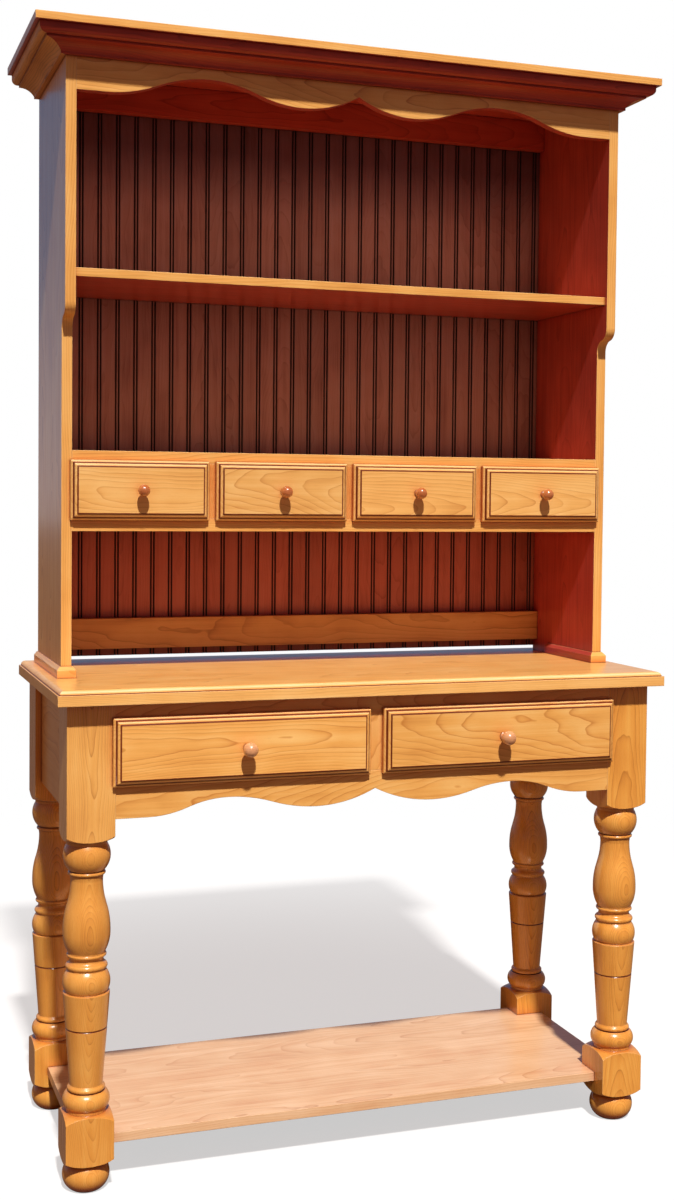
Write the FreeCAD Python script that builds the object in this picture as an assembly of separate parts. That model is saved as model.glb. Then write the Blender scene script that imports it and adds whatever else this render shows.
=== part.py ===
"""Step back cupboard: an open hutch on a table with turned legs.

Units are millimetres.  X runs to the right as seen from the front, Y runs from
the front to the back, Z is up.  The origin is on the floor, under the middle of
the whole width and depth.  Every piece of wood is a solid of its own and goes to
parts/NODE.step.
"""
import FreeCAD, Part
import math
import os

# ---------------------------------------------------------------------------
# Driving dimensions
# ---------------------------------------------------------------------------

# Table top
counter_height = 926.0          # floor to the top surface of the table
top_width = 1220.0
top_depth = 524.0
top_thickness = 28.0
top_edge_flat = 19.5            # upright part of the moulded edge
top_edge_quirk = 4.0            # small level step in front of the rounded part

# Legs: square blank and where it stands under the top
leg_square = 88.0
leg_inset_side = 21.0           # end of the top to the legs' outer faces
leg_inset_front = 30.0
leg_inset_back = 8.0

# Legs: blocks left square, and the domed shoulders at their ends
upper_block_height = 252.0      # under the table top, at the middle of a face
lower_block_height = 90.0       # at the middle of a face
dome_overlap = 2.0              # dome begins inside the neck beside it
dome_middle_radius = 52.8       # between the middle of a face and its arris
dome_middle_height = 3.5
dome_height = 14.0
blank_spare = 4.0               # outline passes this far outside the square parts
turning_waste = 0.5             # taken off the flats where the turning is fullest

# Legs: turned parts under the upper block, from the top down
head_neck_radius = 37.5
head_neck_height = 8.0
head_ball_height = 48.0
head_ball_seat = 33.5
collar_ring_radius = 34.5
collar_ring_height = 7.0
vase_lip_radius = 30.5
vase_height = 140.0
vase_neck_radius = 29.5
vase_neck_drop = 8.0            # top of the vase to its narrowest place
vase_belly_rise = 40.0          # foot of the vase to its widest place
vase_shoulder_radius = 41.4     # between belly and foot
vase_shoulder_rise = 18.0
vase_foot_radius = 34.5
vase_ring_radius = 36.5
vase_ring_height = 7.0
knee_neck_radius = 31.0
knee_neck_height = 12.0
knee_ring_radius = 38.5
knee_ring_height = 10.0
knee_ball_height = 40.0
knee_ball_seat = 39.0

# Legs: taper and ankle, down to the lower block
taper_head_radius = 43.0
taper_line_drop = 64.0          # head of the taper to the scribed line
taper_line_width = 3.0
taper_line_depth = 1.2
taper_foot_radius = 30.5
ankle_ring_radius = 34.8
ankle_ring_height = 10.0
ankle_ball_height = 32.0
ankle_ball_seat = 35.0
ankle_neck_radius = 37.0
ankle_neck_height = 7.0
ring_relief = 3.0               # rings stand out from their seats
turning_fillet = 2.0            # small square shoulders between the turned parts

# Legs: bun foot
foot_neck_radius = 34.0
foot_neck_height = 3.0
foot_height = 50.0
foot_widest_height = 26.0
foot_floor_radius = 28.0

# Table frame
apron_thickness = 22.0
apron_drop = 211.0              # underside of the top to the lower edge of an apron
side_apron_inset = 13.0         # legs' outer faces to the side aprons
front_rail_height = 32.0
front_rail_depth = 60.0
stile_width = 38.0
large_opening_height = 114.0
tenon_length = 25.0
tenon_thickness = 10.0
tenon_shoulder = 6.0            # face of a board to its tenon
tenon_edge_shoulder = 12.0      # upper and lower edge of a board to its tenon
stile_tenon_length = 8.0
apron_flat = 60.0               # level stretch of the scallop beside each leg
apron_arch_x = 290.0            # highest point of each side arch
apron_arch_rise = 29.0
apron_lobe_x = 118.0            # lowest point of each lobe beside the middle
apron_lobe_rise = 2.0
apron_point_rise = 30.5         # pointed notch in the middle

# Drawer support inside the table
runner_thickness = 20.0
runner_ledge = 22.0             # how far a runner reaches under a drawer
guide_height = 22.0
guide_width = 18.0
kicker_thickness = 20.0
kicker_width = 30.0

# Wooden buttons under the table top
button_length = 44.0
button_width = 34.0
button_thickness = 20.0
button_tongue = 9.0             # length of the tongue in its mortise
button_tongue_thickness = 8.0
button_setback = 10.0           # top of the apron to the mortise
side_button_spacing = 170.0
rear_button_spacing = 560.0

# Lower shelf
shelf_height = 96.4             # floor to its top surface
shelf_thickness = 18.0
shelf_inset_front = 35.0        # legs' front faces to the shelf's front edge
shelf_inset_side = 27.0         # legs' outer faces to the shelf's ends
shelf_housing = 12.0            # depth of the notches in the legs

# Hutch
hutch_height = 1212.0
hutch_inset_side = 36.0         # end of the table top to the hutch's sides
hutch_inset_back = 24.0
hutch_depth = 341.0             # upper part, front edge to back edge
side_thickness = 20.0
step_back = 39.0                # lower part stands back by this much
step_back_height = 46.0         # height of its S curve
step_back_start = 658.0         # table top to the foot of the curve
housing_depth = 7.0             # shelves let into the sides
housing_stop = 10.0             # front end of a stopped housing
plank_rabbet_width = 12.0

# Crown
crown_board_thickness = 14.0
crown_projection = 64.0         # board beyond the sides and the front
crown_moulding_projection = 55.5
crown_fillet = 8.0
crown_ovolo_in = 11.0
crown_ovolo_drop = 11.0
crown_step_in = 3.5
crown_step_drop = 4.0
crown_cove_in = 27.0
crown_cove_drop = 16.0
crown_cove_hollow = 4.0
crown_foot_drop = 4.0

# Valance
valance_thickness = 20.0
valance_drop = 103.0            # underside of the board to the lowest edge
valance_flat = 54.0
valance_arch_x = 300.0
valance_arch_rise = 41.0
valance_lobe_x = 115.0
valance_lobe_rise = 4.0
valance_point_rise = 36.0

# Shelves and drawer case of the hutch
niche_height = 278.0            # table top to the underside of the case
case_bottom_thickness = 25.0
case_top_thickness = 22.0
divider_thickness = 22.0
divider_housing = 5.0
small_opening_height = 106.0
small_drawer_count = 4
plate_space = 322.5             # case to the underside of the plate shelf
plate_shelf_thickness = 16.0
plate_shelf_setback = 9.0       # sides' front edges to the shelf's front edge
plate_groove_width = 8.0
plate_groove_depth = 3.0
plate_groove_from_back = 60.0

# Back of the hutch
plank_pitch = 76.4              # two beads on every plank
plank_thickness = 12.0
plank_back_inset = 7.0          # sides' back edges to the planks
plank_tongue = 5.0
plank_tongue_thickness = 4.0
plank_end_gap = 11.0            # table top to the foot of the planks
bead_width = 4.5
quirk_width = 2.0
quirk_depth = 2.2
first_bead = 6.3                # a bead's middle, from the middle of the hutch
back_rail_thickness = 22.0
back_top_rail_height = 64.0
back_bottom_rail_height = 63.0
back_bottom_rail_rise = 27.0    # table top to the rail

# Base mouldings of the hutch
base_thickness = 8.0
base_height = 22.0
base_bevel = 7.0
base_inner_length = 209.0       # along the inner face, from the front edge

# Drawers
drawer_proud = 20.0             # faces stand out from the frame by this much
running_gap = 0.3               # between a drawer and what it rides on or closes against
large_front_thickness = 32.0
large_lip = 6.0                 # front overlaps its opening on all four sides
large_side_clearance = 1.5
large_side_thickness = 12.0
large_back_space = 26.0         # behind the closed drawer
small_front_thickness = 30.0
small_lip = 4.0
small_side_clearance = 1.0
small_side_thickness = 10.0
small_back_space = 13.0
box_headroom = 4.0              # above a drawer's sides
front_fit = 1.0                 # around the part of a front that enters the opening
tail_spacing = 26.0             # about, between the middles of two dovetails
tail_share = 0.62               # of the spacing, at a dovetail's wide end
tail_slope = 1 / 7              # lean of a dovetail's flanks
front_tail_length = 8.0         # leaves the face of the front whole
bottom_thickness = 6.0
bottom_rise = 8.0               # lower edge of a side to its groove
bottom_lap = 6.0                # bottom panel let into the sides and the front
back_drop = 5.0                 # top of the sides to the top of the back
lip_edge = 8.5                  # flat edge of a drawer front
lip_round_width = 5.2
lip_round_height = 3.0
lip_fillet = 1.6
lip_bead_width = 7.0
lip_quirk = 1.6                 # sharp step from the bead up to the flat of the face

# Knobs
large_knob_radius = 14.0
large_knob_length = 38.0
small_knob_radius = 11.6
small_knob_length = 31.0
knob_seat_spread = 2.0          # radius of the seat beyond the neck's
knob_seat_thickness = 1.5
knob_neck_hollow = 1.2          # cove of the neck
large_knob_neck = 6.0           # radius where the neck meets the ball
small_knob_neck = 5.3
knob_crown_radius = 4.0         # slightly flatter front of the ball
knob_crown_height = 0.4
knob_tenon_radius = 4.5
knob_tenon_clearance = 0.1

# ---------------------------------------------------------------------------
# Places worked out from the driving dimensions
# ---------------------------------------------------------------------------

# The knobs reach out in front of the table top, which counts in the whole depth.
knob_overhang = max(0.0, drawer_proud + large_knob_length - leg_inset_front)
top_front = (knob_overhang - top_depth) / 2
top_back = top_front + top_depth
top_under = counter_height - top_thickness
top_half = top_width / 2

leg_outer = top_half - leg_inset_side
leg_inner = leg_outer - leg_square
leg_front = top_front + leg_inset_front
leg_back = top_back - leg_inset_back
leg_front_rear_face = leg_front + leg_square
leg_back_front_face = leg_back - leg_square
full_radius = leg_square / 2 - turning_waste

apron_foot = top_under - apron_drop
large_opening_top = top_under - front_rail_height
large_opening_foot = large_opening_top - large_opening_height
large_opening_width = leg_inner - stile_width / 2
large_opening_middle = (leg_inner + stile_width / 2) / 2
rear_apron_front = leg_back - side_apron_inset - apron_thickness
side_apron_outer = leg_outer - side_apron_inset
side_apron_inner = side_apron_outer - apron_thickness
front_rail_back = leg_front + front_rail_depth
front_apron_back = leg_front + apron_thickness

hutch_outer = top_half - hutch_inset_side
hutch_inner = hutch_outer - side_thickness
hutch_back = top_back - hutch_inset_back
hutch_front = hutch_back - hutch_depth
case_front = hutch_front + step_back
crown_top = counter_height + hutch_height
board_under = crown_top - crown_board_thickness
plank_front = hutch_back - plank_back_inset - plank_thickness
plank_back = hutch_back - plank_back_inset

case_under = counter_height + niche_height
small_opening_foot = case_under + case_bottom_thickness
small_opening_top = small_opening_foot + small_opening_height
case_top_surface = small_opening_top + case_top_thickness
divider_total = (small_drawer_count - 1) * divider_thickness
small_opening_width = (2 * hutch_inner - divider_total) / small_drawer_count
small_opening_pitch = small_opening_width + divider_thickness
plate_shelf_under = case_top_surface + plate_space
plate_shelf_top = plate_shelf_under + plate_shelf_thickness


def small_opening_middle(number):
    """Middle of one small drawer's opening, counted from the left, in X."""
    return (number - (small_drawer_count - 1) / 2) * small_opening_pitch


# Outline points closer than this are one point.
same_point = 1e-6

# ---------------------------------------------------------------------------
# Shape helpers
# ---------------------------------------------------------------------------

def box(x, y, z):
    """Block between low and high values along each axis."""
    size = [high - low for low, high in (x, y, z)]
    return Part.makeBox(*size, FreeCAD.Vector(x[0], y[0], z[0]))


def point(axis, first, second, along=0.0):
    """Point of an outline that lies square to the named axis."""
    if axis == "x":
        return FreeCAD.Vector(along, first, second)
    if axis == "y":
        return FreeCAD.Vector(first, along, second)
    return FreeCAD.Vector(first, second, along)


def face(axis, outline, along=0.0, turning=False):
    """Face inside a closed outline.  A step is an end point, or (through, end) for an arc.

    The arcs of a turning are free curves, because a plain arc that is turned about an axis
    inside its own circle would give a ring that runs through itself.
    """
    edges = []
    here = outline[0]
    for step in list(outline[1:]) + [outline[0]]:
        is_arc = isinstance(step[0], tuple)
        end = step[1] if is_arc else step
        if math.dist(here, end) < same_point:
            continue
        start_point = point(axis, *here, along)
        end_point = point(axis, *end, along)
        if is_arc:
            through = point(axis, *step[0], along)
            arc = Part.Arc(start_point, through, end_point)
            edges.append(arc.toBSpline().toShape() if turning else arc.toShape())
        else:
            edges.append(Part.makeLine(start_point, end_point))
        here = end
    return Part.Face(Part.Wire(edges))


def prism(axis, outline, low, high):
    """Outline carried along an axis from low to high."""
    return face(axis, outline, low).extrude(point(axis, 0.0, 0.0, high - low))


def turned(outline):
    """Outline of (radius, height) turned about the vertical axis."""
    return face("y", outline, turning=True).revolve(FreeCAD.Vector(0, 0, 0), FreeCAD.Vector(0, 0, 1), 360)


def mirrored(shape):
    """The same piece for the other side of the cupboard."""
    return shape.mirror(FreeCAD.Vector(0, 0, 0), FreeCAD.Vector(1, 0, 0))


def moved(shape, x=0.0, y=0.0, z=0.0):
    """Copy of a shape, shifted."""
    copy = shape.copy()
    copy.translate(FreeCAD.Vector(x, y, z))
    return copy


def ogee(start, end, level=True):
    """Two equal arcs that meet half way, level (or upright) at both ends."""
    if not level:
        swapped = ogee(start[::-1], end[::-1])
        return [(through[::-1], finish[::-1]) for through, finish in swapped]
    half_run = (end[0] - start[0]) / 2
    half_rise = (end[1] - start[1]) / 2
    radius = (half_run ** 2 + half_rise ** 2) / (2 * abs(half_rise))
    half_angle = math.asin(abs(half_run) / radius) / 2
    run = math.copysign(radius * math.sin(half_angle), half_run)
    rise = math.copysign(radius * (1 - math.cos(half_angle)), half_rise)
    middle = (start[0] + half_run, start[1] + half_rise)
    return [((start[0] + run, start[1] + rise), middle), ((end[0] - run, end[1] - rise), end)]


def level_arc(start, end, level_at_start=True):
    """One arc that is level at one of its ends."""
    near, far = (start, end) if level_at_start else (end, start)
    run = far[0] - near[0]
    rise = far[1] - near[1]
    radius = (run ** 2 + rise ** 2) / (2 * abs(rise))
    half_angle = math.asin(abs(run) / radius) / 2
    through = (near[0] + math.copysign(radius * math.sin(half_angle), run),
               near[1] + math.copysign(radius * (1 - math.cos(half_angle)), rise))
    return [(through, end)]


def scallop(half_width, foot, flat, arch_x, arch_rise, lobe_x, lobe_rise, point_rise):
    """Lower edge of an apron or a valance, from its right end to its left end."""
    flat_x = half_width - flat
    right = [(half_width, foot), (flat_x, foot)]
    right += ogee((flat_x, foot), (arch_x, foot + arch_rise))
    right += ogee((arch_x, foot + arch_rise), (lobe_x, foot + lobe_rise))
    right += level_arc((lobe_x, foot + lobe_rise), (0.0, foot + point_rise))
    left = level_arc((0.0, foot + point_rise), (-lobe_x, foot + lobe_rise), level_at_start=False)
    left += ogee((-lobe_x, foot + lobe_rise), (-arch_x, foot + arch_rise))
    left += ogee((-arch_x, foot + arch_rise), (-flat_x, foot))
    left += [(-half_width, foot)]
    return right + left


# ---------------------------------------------------------------------------
# Table
# ---------------------------------------------------------------------------

def table_top():
    """Panel with a quirk and a quarter round along its front edge and both ends."""
    round_height = top_thickness - top_edge_flat
    quirk_level = top_under + top_edge_flat
    slope = round_height * math.sqrt(0.5)

    def moulded(edge, inward):
        """Upper corner of the moulded edge, from the quirk to the top surface."""
        centre = edge + inward * (top_edge_quirk + round_height)
        return [(edge, quirk_level), (edge + inward * top_edge_quirk, quirk_level),
                ((centre - inward * slope, quirk_level + slope), (centre, counter_height))]

    front = [(top_back, top_under), (top_front, top_under)]
    front += moulded(top_front, 1)
    front += [(top_back, counter_height)]
    ends = [(top_half, top_under), (-top_half, top_under)]
    ends += moulded(-top_half, 1)
    right_end = moulded(top_half, -1)
    arc_through = right_end[2][0]
    ends += [right_end[2][1], (arc_through, right_end[1]), right_end[0]]
    along_front = prism("x", front, -top_half, top_half)
    return along_front.common(prism("y", ends, top_front, top_back))


class Turning:
    """Outline of a turned piece, walked from its top down as (radius, height)."""

    def __init__(self, radius, height):
        self.height = height
        self.steps = [(0.0, height), (radius, height)]

    def straight(self, radius, drop=0.0):
        """Cylinder or cone down to a radius, or a square shoulder where there is no drop."""
        self.height -= drop
        self.steps.append((radius, self.height))

    def curve(self, through_radius, through_drop, radius, drop):
        """One arc, through a radius on the way."""
        through = (through_radius, self.height - through_drop)
        self.height -= drop
        self.steps.append((through, (radius, self.height)))

    def ring(self, radius, drop):
        """Half-round ring on a seat."""
        seat = radius - ring_relief
        self.straight(seat)
        self.curve(radius, drop / 2, seat, drop)

    def dome_down(self, neck_radius):
        """Rounded lower end of a square block, into the neck under it."""
        self.curve(dome_middle_radius, dome_height - dome_middle_height, neck_radius,
                   dome_height + dome_overlap)

    def dome_up(self, outside_radius):
        """Rounded upper end of a square block, out of the neck over it."""
        self.curve(dome_middle_radius, dome_overlap + dome_middle_height, outside_radius,
                   dome_height + dome_overlap)


def leg_outline():
    """Turned outline of a leg, outside the blank's arrises where the blank stays square."""
    outside = leg_square / math.sqrt(2) + blank_spare
    walk = Turning(outside, top_under + blank_spare)
    walk.straight(outside, blank_spare + upper_block_height - dome_height)
    walk.dome_down(head_neck_radius)
    walk.straight(head_neck_radius, head_neck_height - dome_overlap)
    walk.curve(full_radius, head_ball_height / 2, head_ball_seat, head_ball_height)
    walk.straight(collar_ring_radius - ring_relief)
    walk.straight(collar_ring_radius - ring_relief, turning_fillet)
    walk.ring(collar_ring_radius, collar_ring_height)

    walk.straight(vase_lip_radius)
    walk.straight(vase_lip_radius, turning_fillet)
    walk.straight(vase_neck_radius, vase_neck_drop)
    neck = (vase_neck_radius, walk.height)
    walk.height -= vase_height - vase_neck_drop - vase_belly_rise
    walk.steps += ogee(neck, (full_radius, walk.height), level=False)
    walk.curve(vase_shoulder_radius, vase_belly_rise - vase_shoulder_rise, vase_foot_radius, vase_belly_rise)
    walk.straight(vase_foot_radius, turning_fillet)
    walk.ring(vase_ring_radius, vase_ring_height)
    walk.curve(knee_neck_radius, knee_neck_height / 2, knee_ring_radius - ring_relief, knee_neck_height)
    walk.ring(knee_ring_radius, knee_ring_height)
    walk.straight(knee_ring_radius - ring_relief, turning_fillet)
    walk.curve(full_radius, knee_ball_height / 2, knee_ball_seat, knee_ball_height)

    ankle_top = (foot_height + foot_neck_height + lower_block_height + ankle_neck_height
                 + ankle_ball_height + ankle_ring_height + turning_fillet)
    walk.straight(taper_head_radius, turning_fillet)
    taper = (walk.height - ankle_top, taper_head_radius - taper_foot_radius)
    line_radius = taper_head_radius - taper[1] * taper_line_drop / taper[0]
    walk.straight(line_radius, taper_line_drop)
    walk.straight(line_radius - taper_line_depth, taper_line_width / 2)
    walk.straight(line_radius - taper[1] * taper_line_width / taper[0], taper_line_width / 2)
    walk.straight(taper_foot_radius, walk.height - ankle_top)
    walk.straight(ankle_ring_radius - ring_relief, turning_fillet)
    walk.ring(ankle_ring_radius, ankle_ring_height)
    walk.straight(ankle_ball_seat)
    walk.curve(full_radius, ankle_ball_height / 2, ankle_neck_radius, ankle_ball_height)
    walk.straight(ankle_neck_radius, ankle_neck_height - dome_overlap)

    walk.dome_up(outside)
    walk.straight(outside, lower_block_height - 2 * dome_height)
    walk.dome_down(foot_neck_radius)
    walk.straight(foot_neck_radius, foot_neck_height - dome_overlap)
    walk.curve(full_radius, foot_height - foot_widest_height, foot_floor_radius, foot_height)
    walk.straight(0.0)
    return walk.steps


def leg(x_middle, y_middle, joined):
    """Square blank turned to the outline, with the mortises for the pieces joined to it."""
    half = leg_square / 2
    blank = box((-half, half), (-half, half), (-blank_spare, top_under))
    shape = moved(blank.common(turned(leg_outline())), x_middle, y_middle)
    for piece in joined:
        shape = shape.cut(piece)
    return shape


def front_apron():
    """Scalloped board under the drawers, tenoned into the front legs."""
    lower_edge = scallop(leg_inner, apron_foot, apron_flat, apron_arch_x, apron_arch_rise,
                         apron_lobe_x, apron_lobe_rise, apron_point_rise)
    outline = [(-leg_inner, large_opening_foot), (leg_inner, large_opening_foot)] + lower_edge
    board = prism("y", outline, leg_front, front_apron_back)
    tenon_end = leg_inner + tenon_length
    tenon_foot = apron_foot + tenon_edge_shoulder
    tenon_top = large_opening_foot - tenon_edge_shoulder
    tenon_front = leg_front + tenon_shoulder
    tenon = box((leg_inner, tenon_end), (tenon_front, tenon_front + tenon_thickness), (tenon_foot, tenon_top))
    stile_mortise = stile_tenon_block(large_opening_foot - stile_tenon_length, large_opening_foot)
    return board.fuse(tenon).fuse(mirrored(tenon)).removeSplitter().cut(stile_mortise)


def stile_tenon_block(low, high):
    """Stub tenon of the centre stile, between two heights."""
    half = stile_width / 2 - tenon_shoulder
    front = leg_front + tenon_shoulder
    return box((-half, half), (front, front + tenon_thickness), (low, high))


def drawer_stile():
    """Upright between the two large drawers."""
    half = stile_width / 2
    board = box((-half, half), (leg_front, front_apron_back), (large_opening_foot, large_opening_top))
    lower = stile_tenon_block(large_opening_foot - stile_tenon_length, large_opening_foot)
    upper = stile_tenon_block(large_opening_top, large_opening_top + stile_tenon_length)
    return board.fuse(lower).fuse(upper).removeSplitter()


def front_top_rail():
    """Flat rail above the drawers, tenoned into the front legs."""
    board = box((-leg_inner, leg_inner), (leg_front, front_rail_back), (large_opening_top, top_under))
    tenon_end = leg_inner + tenon_length
    tenon_depth = (leg_front + tenon_shoulder, front_rail_back - tenon_edge_shoulder)
    tenon_foot = large_opening_top + tenon_shoulder
    tenons = box((-tenon_end, tenon_end), tenon_depth, (tenon_foot, tenon_foot + tenon_thickness))
    stile_mortise = stile_tenon_block(large_opening_top, large_opening_top + stile_tenon_length)
    return board.fuse(tenons).removeSplitter().cut(stile_mortise)


def rear_apron():
    """Plain board between the rear legs."""
    across_y = (rear_apron_front, rear_apron_front + apron_thickness)
    board = box((-leg_inner, leg_inner), across_y, (apron_foot, top_under))
    tenon_end = leg_inner + tenon_length
    tenon_front = rear_apron_front + tenon_shoulder
    tenons = box((-tenon_end, tenon_end), (tenon_front, tenon_front + tenon_thickness),
                 (apron_foot + tenon_edge_shoulder, top_under - tenon_edge_shoulder))
    return board.fuse(tenons).removeSplitter().cut(button_tongues())


def side_apron_right():
    """Plain board between the two right-hand legs."""
    board = box((side_apron_inner, side_apron_outer), (leg_front_rear_face, leg_back_front_face),
                (apron_foot, top_under))
    tenon_outer = side_apron_outer - tenon_shoulder
    tenon_y = (leg_front_rear_face - tenon_length, leg_back_front_face + tenon_length)
    tenons = box((tenon_outer - tenon_thickness, tenon_outer), tenon_y,
                 (apron_foot + tenon_edge_shoulder, top_under - tenon_edge_shoulder))
    return board.fuse(tenons).removeSplitter().cut(button_tongues())


def lower_shelf():
    """Shelf near the floor, its corners notched into the blocks of the legs."""
    front = leg_front + shelf_inset_front
    back = leg_back - shelf_inset_front
    end = leg_outer - shelf_inset_side
    notch_x = leg_inner + shelf_housing
    notch_front = leg_front_rear_face - shelf_housing
    notch_back = leg_back_front_face + shelf_housing
    right = [(notch_x, front), (notch_x, notch_front), (end, notch_front),
             (end, notch_back), (notch_x, notch_back), (notch_x, back)]
    left = [(-x, y) for x, y in reversed(right)]
    return prism("z", right + left, shelf_height - shelf_thickness, shelf_height)


def side_runner_right():
    """Ledge and guide for the outer side of the right-hand drawer."""
    ledge_inner = leg_inner - runner_ledge
    outline = [(ledge_inner, front_apron_back), (leg_inner, front_apron_back),
               (leg_inner, leg_front_rear_face), (side_apron_inner, leg_front_rear_face),
               (side_apron_inner, leg_back_front_face), (leg_inner, leg_back_front_face),
               (leg_inner, rear_apron_front), (ledge_inner, rear_apron_front)]
    ledge = prism("z", outline, large_opening_foot - runner_thickness, large_opening_foot)
    guide = box((leg_inner, leg_inner + guide_width), (leg_front_rear_face, leg_back_front_face),
                (large_opening_foot, large_opening_foot + guide_height))
    return ledge.fuse(guide).removeSplitter()


def centre_runner():
    """Ledge and guide between the two large drawers."""
    half = stile_width / 2
    length = (front_apron_back, rear_apron_front)
    ledge = box((-half - runner_ledge, half + runner_ledge), length,
                (large_opening_foot - runner_thickness, large_opening_foot))
    guide = box((-half, half), length, (large_opening_foot, large_opening_foot + guide_height))
    return ledge.fuse(guide).removeSplitter()


def kickers():
    """Three strips over the drawers' sides, which keep an open drawer level."""
    length = (front_rail_back, rear_apron_front)
    height = (large_opening_top, large_opening_top + kicker_thickness)
    outer = box((leg_inner - kicker_width, leg_inner), length, height)
    half = stile_width / 2 + runner_ledge
    middle = box((-half, half), length, height)
    return Part.Compound([mirrored(outer), middle, outer])


def button():
    """Wooden button, its tongue pointing along +Y, its mortise face at Y = 0."""
    half = button_width / 2
    tongue_top = -button_setback
    body = box((-half, half), (-button_length, 0.0), (-button_thickness, 0.0))
    lower = -button_setback - button_tongue_thickness
    tongue = box((-half, half), (0.0, button_tongue), (lower, tongue_top))
    return body.fuse(tongue).removeSplitter()


def button_solids():
    """All buttons, four on the side aprons and two on the rear apron."""
    placed = []
    side_middle = (leg_front_rear_face + leg_back_front_face) / 2
    for side in (-1, 1):
        for end in (-1, 1):
            turned_button = button()
            turned_button.rotate(FreeCAD.Vector(0, 0, 0), FreeCAD.Vector(0, 0, 1), -90 * side)
            y = side_middle + end * side_button_spacing / 2
            placed.append(moved(turned_button, side * side_apron_inner, y, top_under))
        placed.append(moved(button(), side * rear_button_spacing / 2, rear_apron_front, top_under))
    return placed


def button_tongues():
    """Space that the buttons' tongues take in the aprons."""
    return Part.Compound(button_solids())


# ---------------------------------------------------------------------------
# Hutch
# ---------------------------------------------------------------------------

def side_board_right():
    """Right-hand side before its housings are cut, stepped back above the niche."""
    curve_foot = counter_height + step_back_start
    curve_top = curve_foot + step_back_height
    outline = [(hutch_back, counter_height), (hutch_back, board_under), (hutch_front, board_under),
               (hutch_front, curve_top)]
    outline += ogee((hutch_front, curve_top), (case_front, curve_foot), level=False)
    outline += [(case_front, counter_height)]
    return prism("x", outline, hutch_inner, hutch_outer)


def side_right(joined):
    """Right-hand side with its rabbet for the planks and its stopped housings."""
    rabbet = box((hutch_inner, hutch_inner + plank_rabbet_width), (plank_front, hutch_back),
                 (counter_height, board_under))
    shape = side_board_right().cut(rabbet)
    for piece in joined:
        shape = shape.cut(piece)
    return shape


def housed_board(front, low, high, stop):
    """Board between the sides, its ends let into stopped housings."""
    board = box((-hutch_inner, hutch_inner), (front, plank_front), (low, high))
    reach = hutch_inner + housing_depth
    return board.fuse(box((-reach, reach), (front + stop, plank_front), (low, high))).removeSplitter()


def plate_groove(surface):
    """Groove that keeps the lower edges of standing plates in place."""
    back = plank_front - plate_groove_from_back
    return box((-hutch_inner + housing_stop, hutch_inner - housing_stop), (back - plate_groove_width, back),
               (surface - plate_groove_depth, surface))


def plate_shelf():
    """Upper shelf with its plate groove."""
    front = hutch_front + plate_shelf_setback
    board = housed_board(front, plate_shelf_under, plate_shelf_top, 0.0)
    return board.cut(plate_groove(plate_shelf_top))


def divider(number):
    """Upright between two small drawers, its ends housed in the case boards."""
    middle = small_opening_middle(number) + small_opening_pitch / 2
    across = (middle - divider_thickness / 2, middle + divider_thickness / 2)
    board = box(across, (case_front, plank_front), (small_opening_foot, small_opening_top))
    housed = box(across, (case_front + housing_stop, plank_front),
                 (small_opening_foot - divider_housing, small_opening_top + divider_housing))
    return board.fuse(housed).removeSplitter()


def case_dividers():
    """The dividers of the drawer case."""
    return Part.Compound([divider(number) for number in range(small_drawer_count - 1)])


def case_bottom():
    """Board under the small drawers."""
    board = housed_board(case_front, case_under, small_opening_foot, housing_stop)
    return board.cut(case_dividers())


def case_top():
    """Board over the small drawers, with a plate groove."""
    board = housed_board(case_front, small_opening_top, case_top_surface, housing_stop)
    return board.cut(case_dividers()).cut(plate_groove(case_top_surface))


def hutch_top():
    """Board that caps the hutch and carries the crown's upper edge."""
    reach = hutch_outer + crown_projection
    return box((-reach, reach), (hutch_front - crown_projection, hutch_back), (board_under, crown_top))


def valance():
    """Scalloped board behind the crown, flush with the sides' front edges."""
    foot = board_under - valance_drop
    lower_edge = scallop(hutch_inner, foot, valance_flat, valance_arch_x, valance_arch_rise,
                         valance_lobe_x, valance_lobe_rise, valance_point_rise)
    outline = [(-hutch_inner, board_under), (hutch_inner, board_under)] + lower_edge
    return prism("y", outline, hutch_front, hutch_front + valance_thickness)


def crown_outline(origin, direction):
    """Section of the crown moulding: fillet, ovolo, step and cove, out from a face."""
    steps = [(0.0, 0.0), (crown_moulding_projection, 0.0)]
    out = crown_moulding_projection
    drop = crown_fillet
    steps.append((out, drop))
    ovolo_end = (out - crown_ovolo_in, drop + crown_ovolo_drop)
    ovolo_through = (out - crown_ovolo_in * 0.29, drop + crown_ovolo_drop * 0.71)
    steps.append((ovolo_through, ovolo_end))
    out, drop = ovolo_end
    steps += [(out - crown_step_in, drop), (out - crown_step_in, drop + crown_step_drop)]
    out -= 2 * crown_step_in
    drop += crown_step_drop
    steps.append((out, drop))
    cove_end = (out - crown_cove_in, drop + crown_cove_drop)
    chord = math.dist((out, drop), cove_end)
    hollow = crown_cove_hollow / chord
    cove_through = ((out + cove_end[0]) / 2 - hollow * crown_cove_drop,
                    (drop + cove_end[1]) / 2 - hollow * crown_cove_in)
    steps.append((cove_through, cove_end))
    out, drop = cove_end
    steps += [(out, drop + crown_foot_drop), (0.0, drop + crown_foot_drop)]

    def at(pair):
        """Outline point, from distance out and drop to the place in the hutch."""
        return (origin + direction * pair[0], board_under - pair[1])

    return [tuple(at(part) for part in step) if isinstance(step[0], tuple) else at(step) for step in steps]


def crown_front():
    """Front length of the crown moulding, mitred at both ends."""
    reach = crown_moulding_projection
    length = prism("x", crown_outline(hutch_front, -1), -hutch_outer - reach, hutch_outer + reach)
    plan = [(-hutch_outer, hutch_front), (hutch_outer, hutch_front),
            (hutch_outer + reach, hutch_front - reach), (-hutch_outer - reach, hutch_front - reach)]
    return length.common(prism("z", plan, case_under, board_under))


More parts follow.
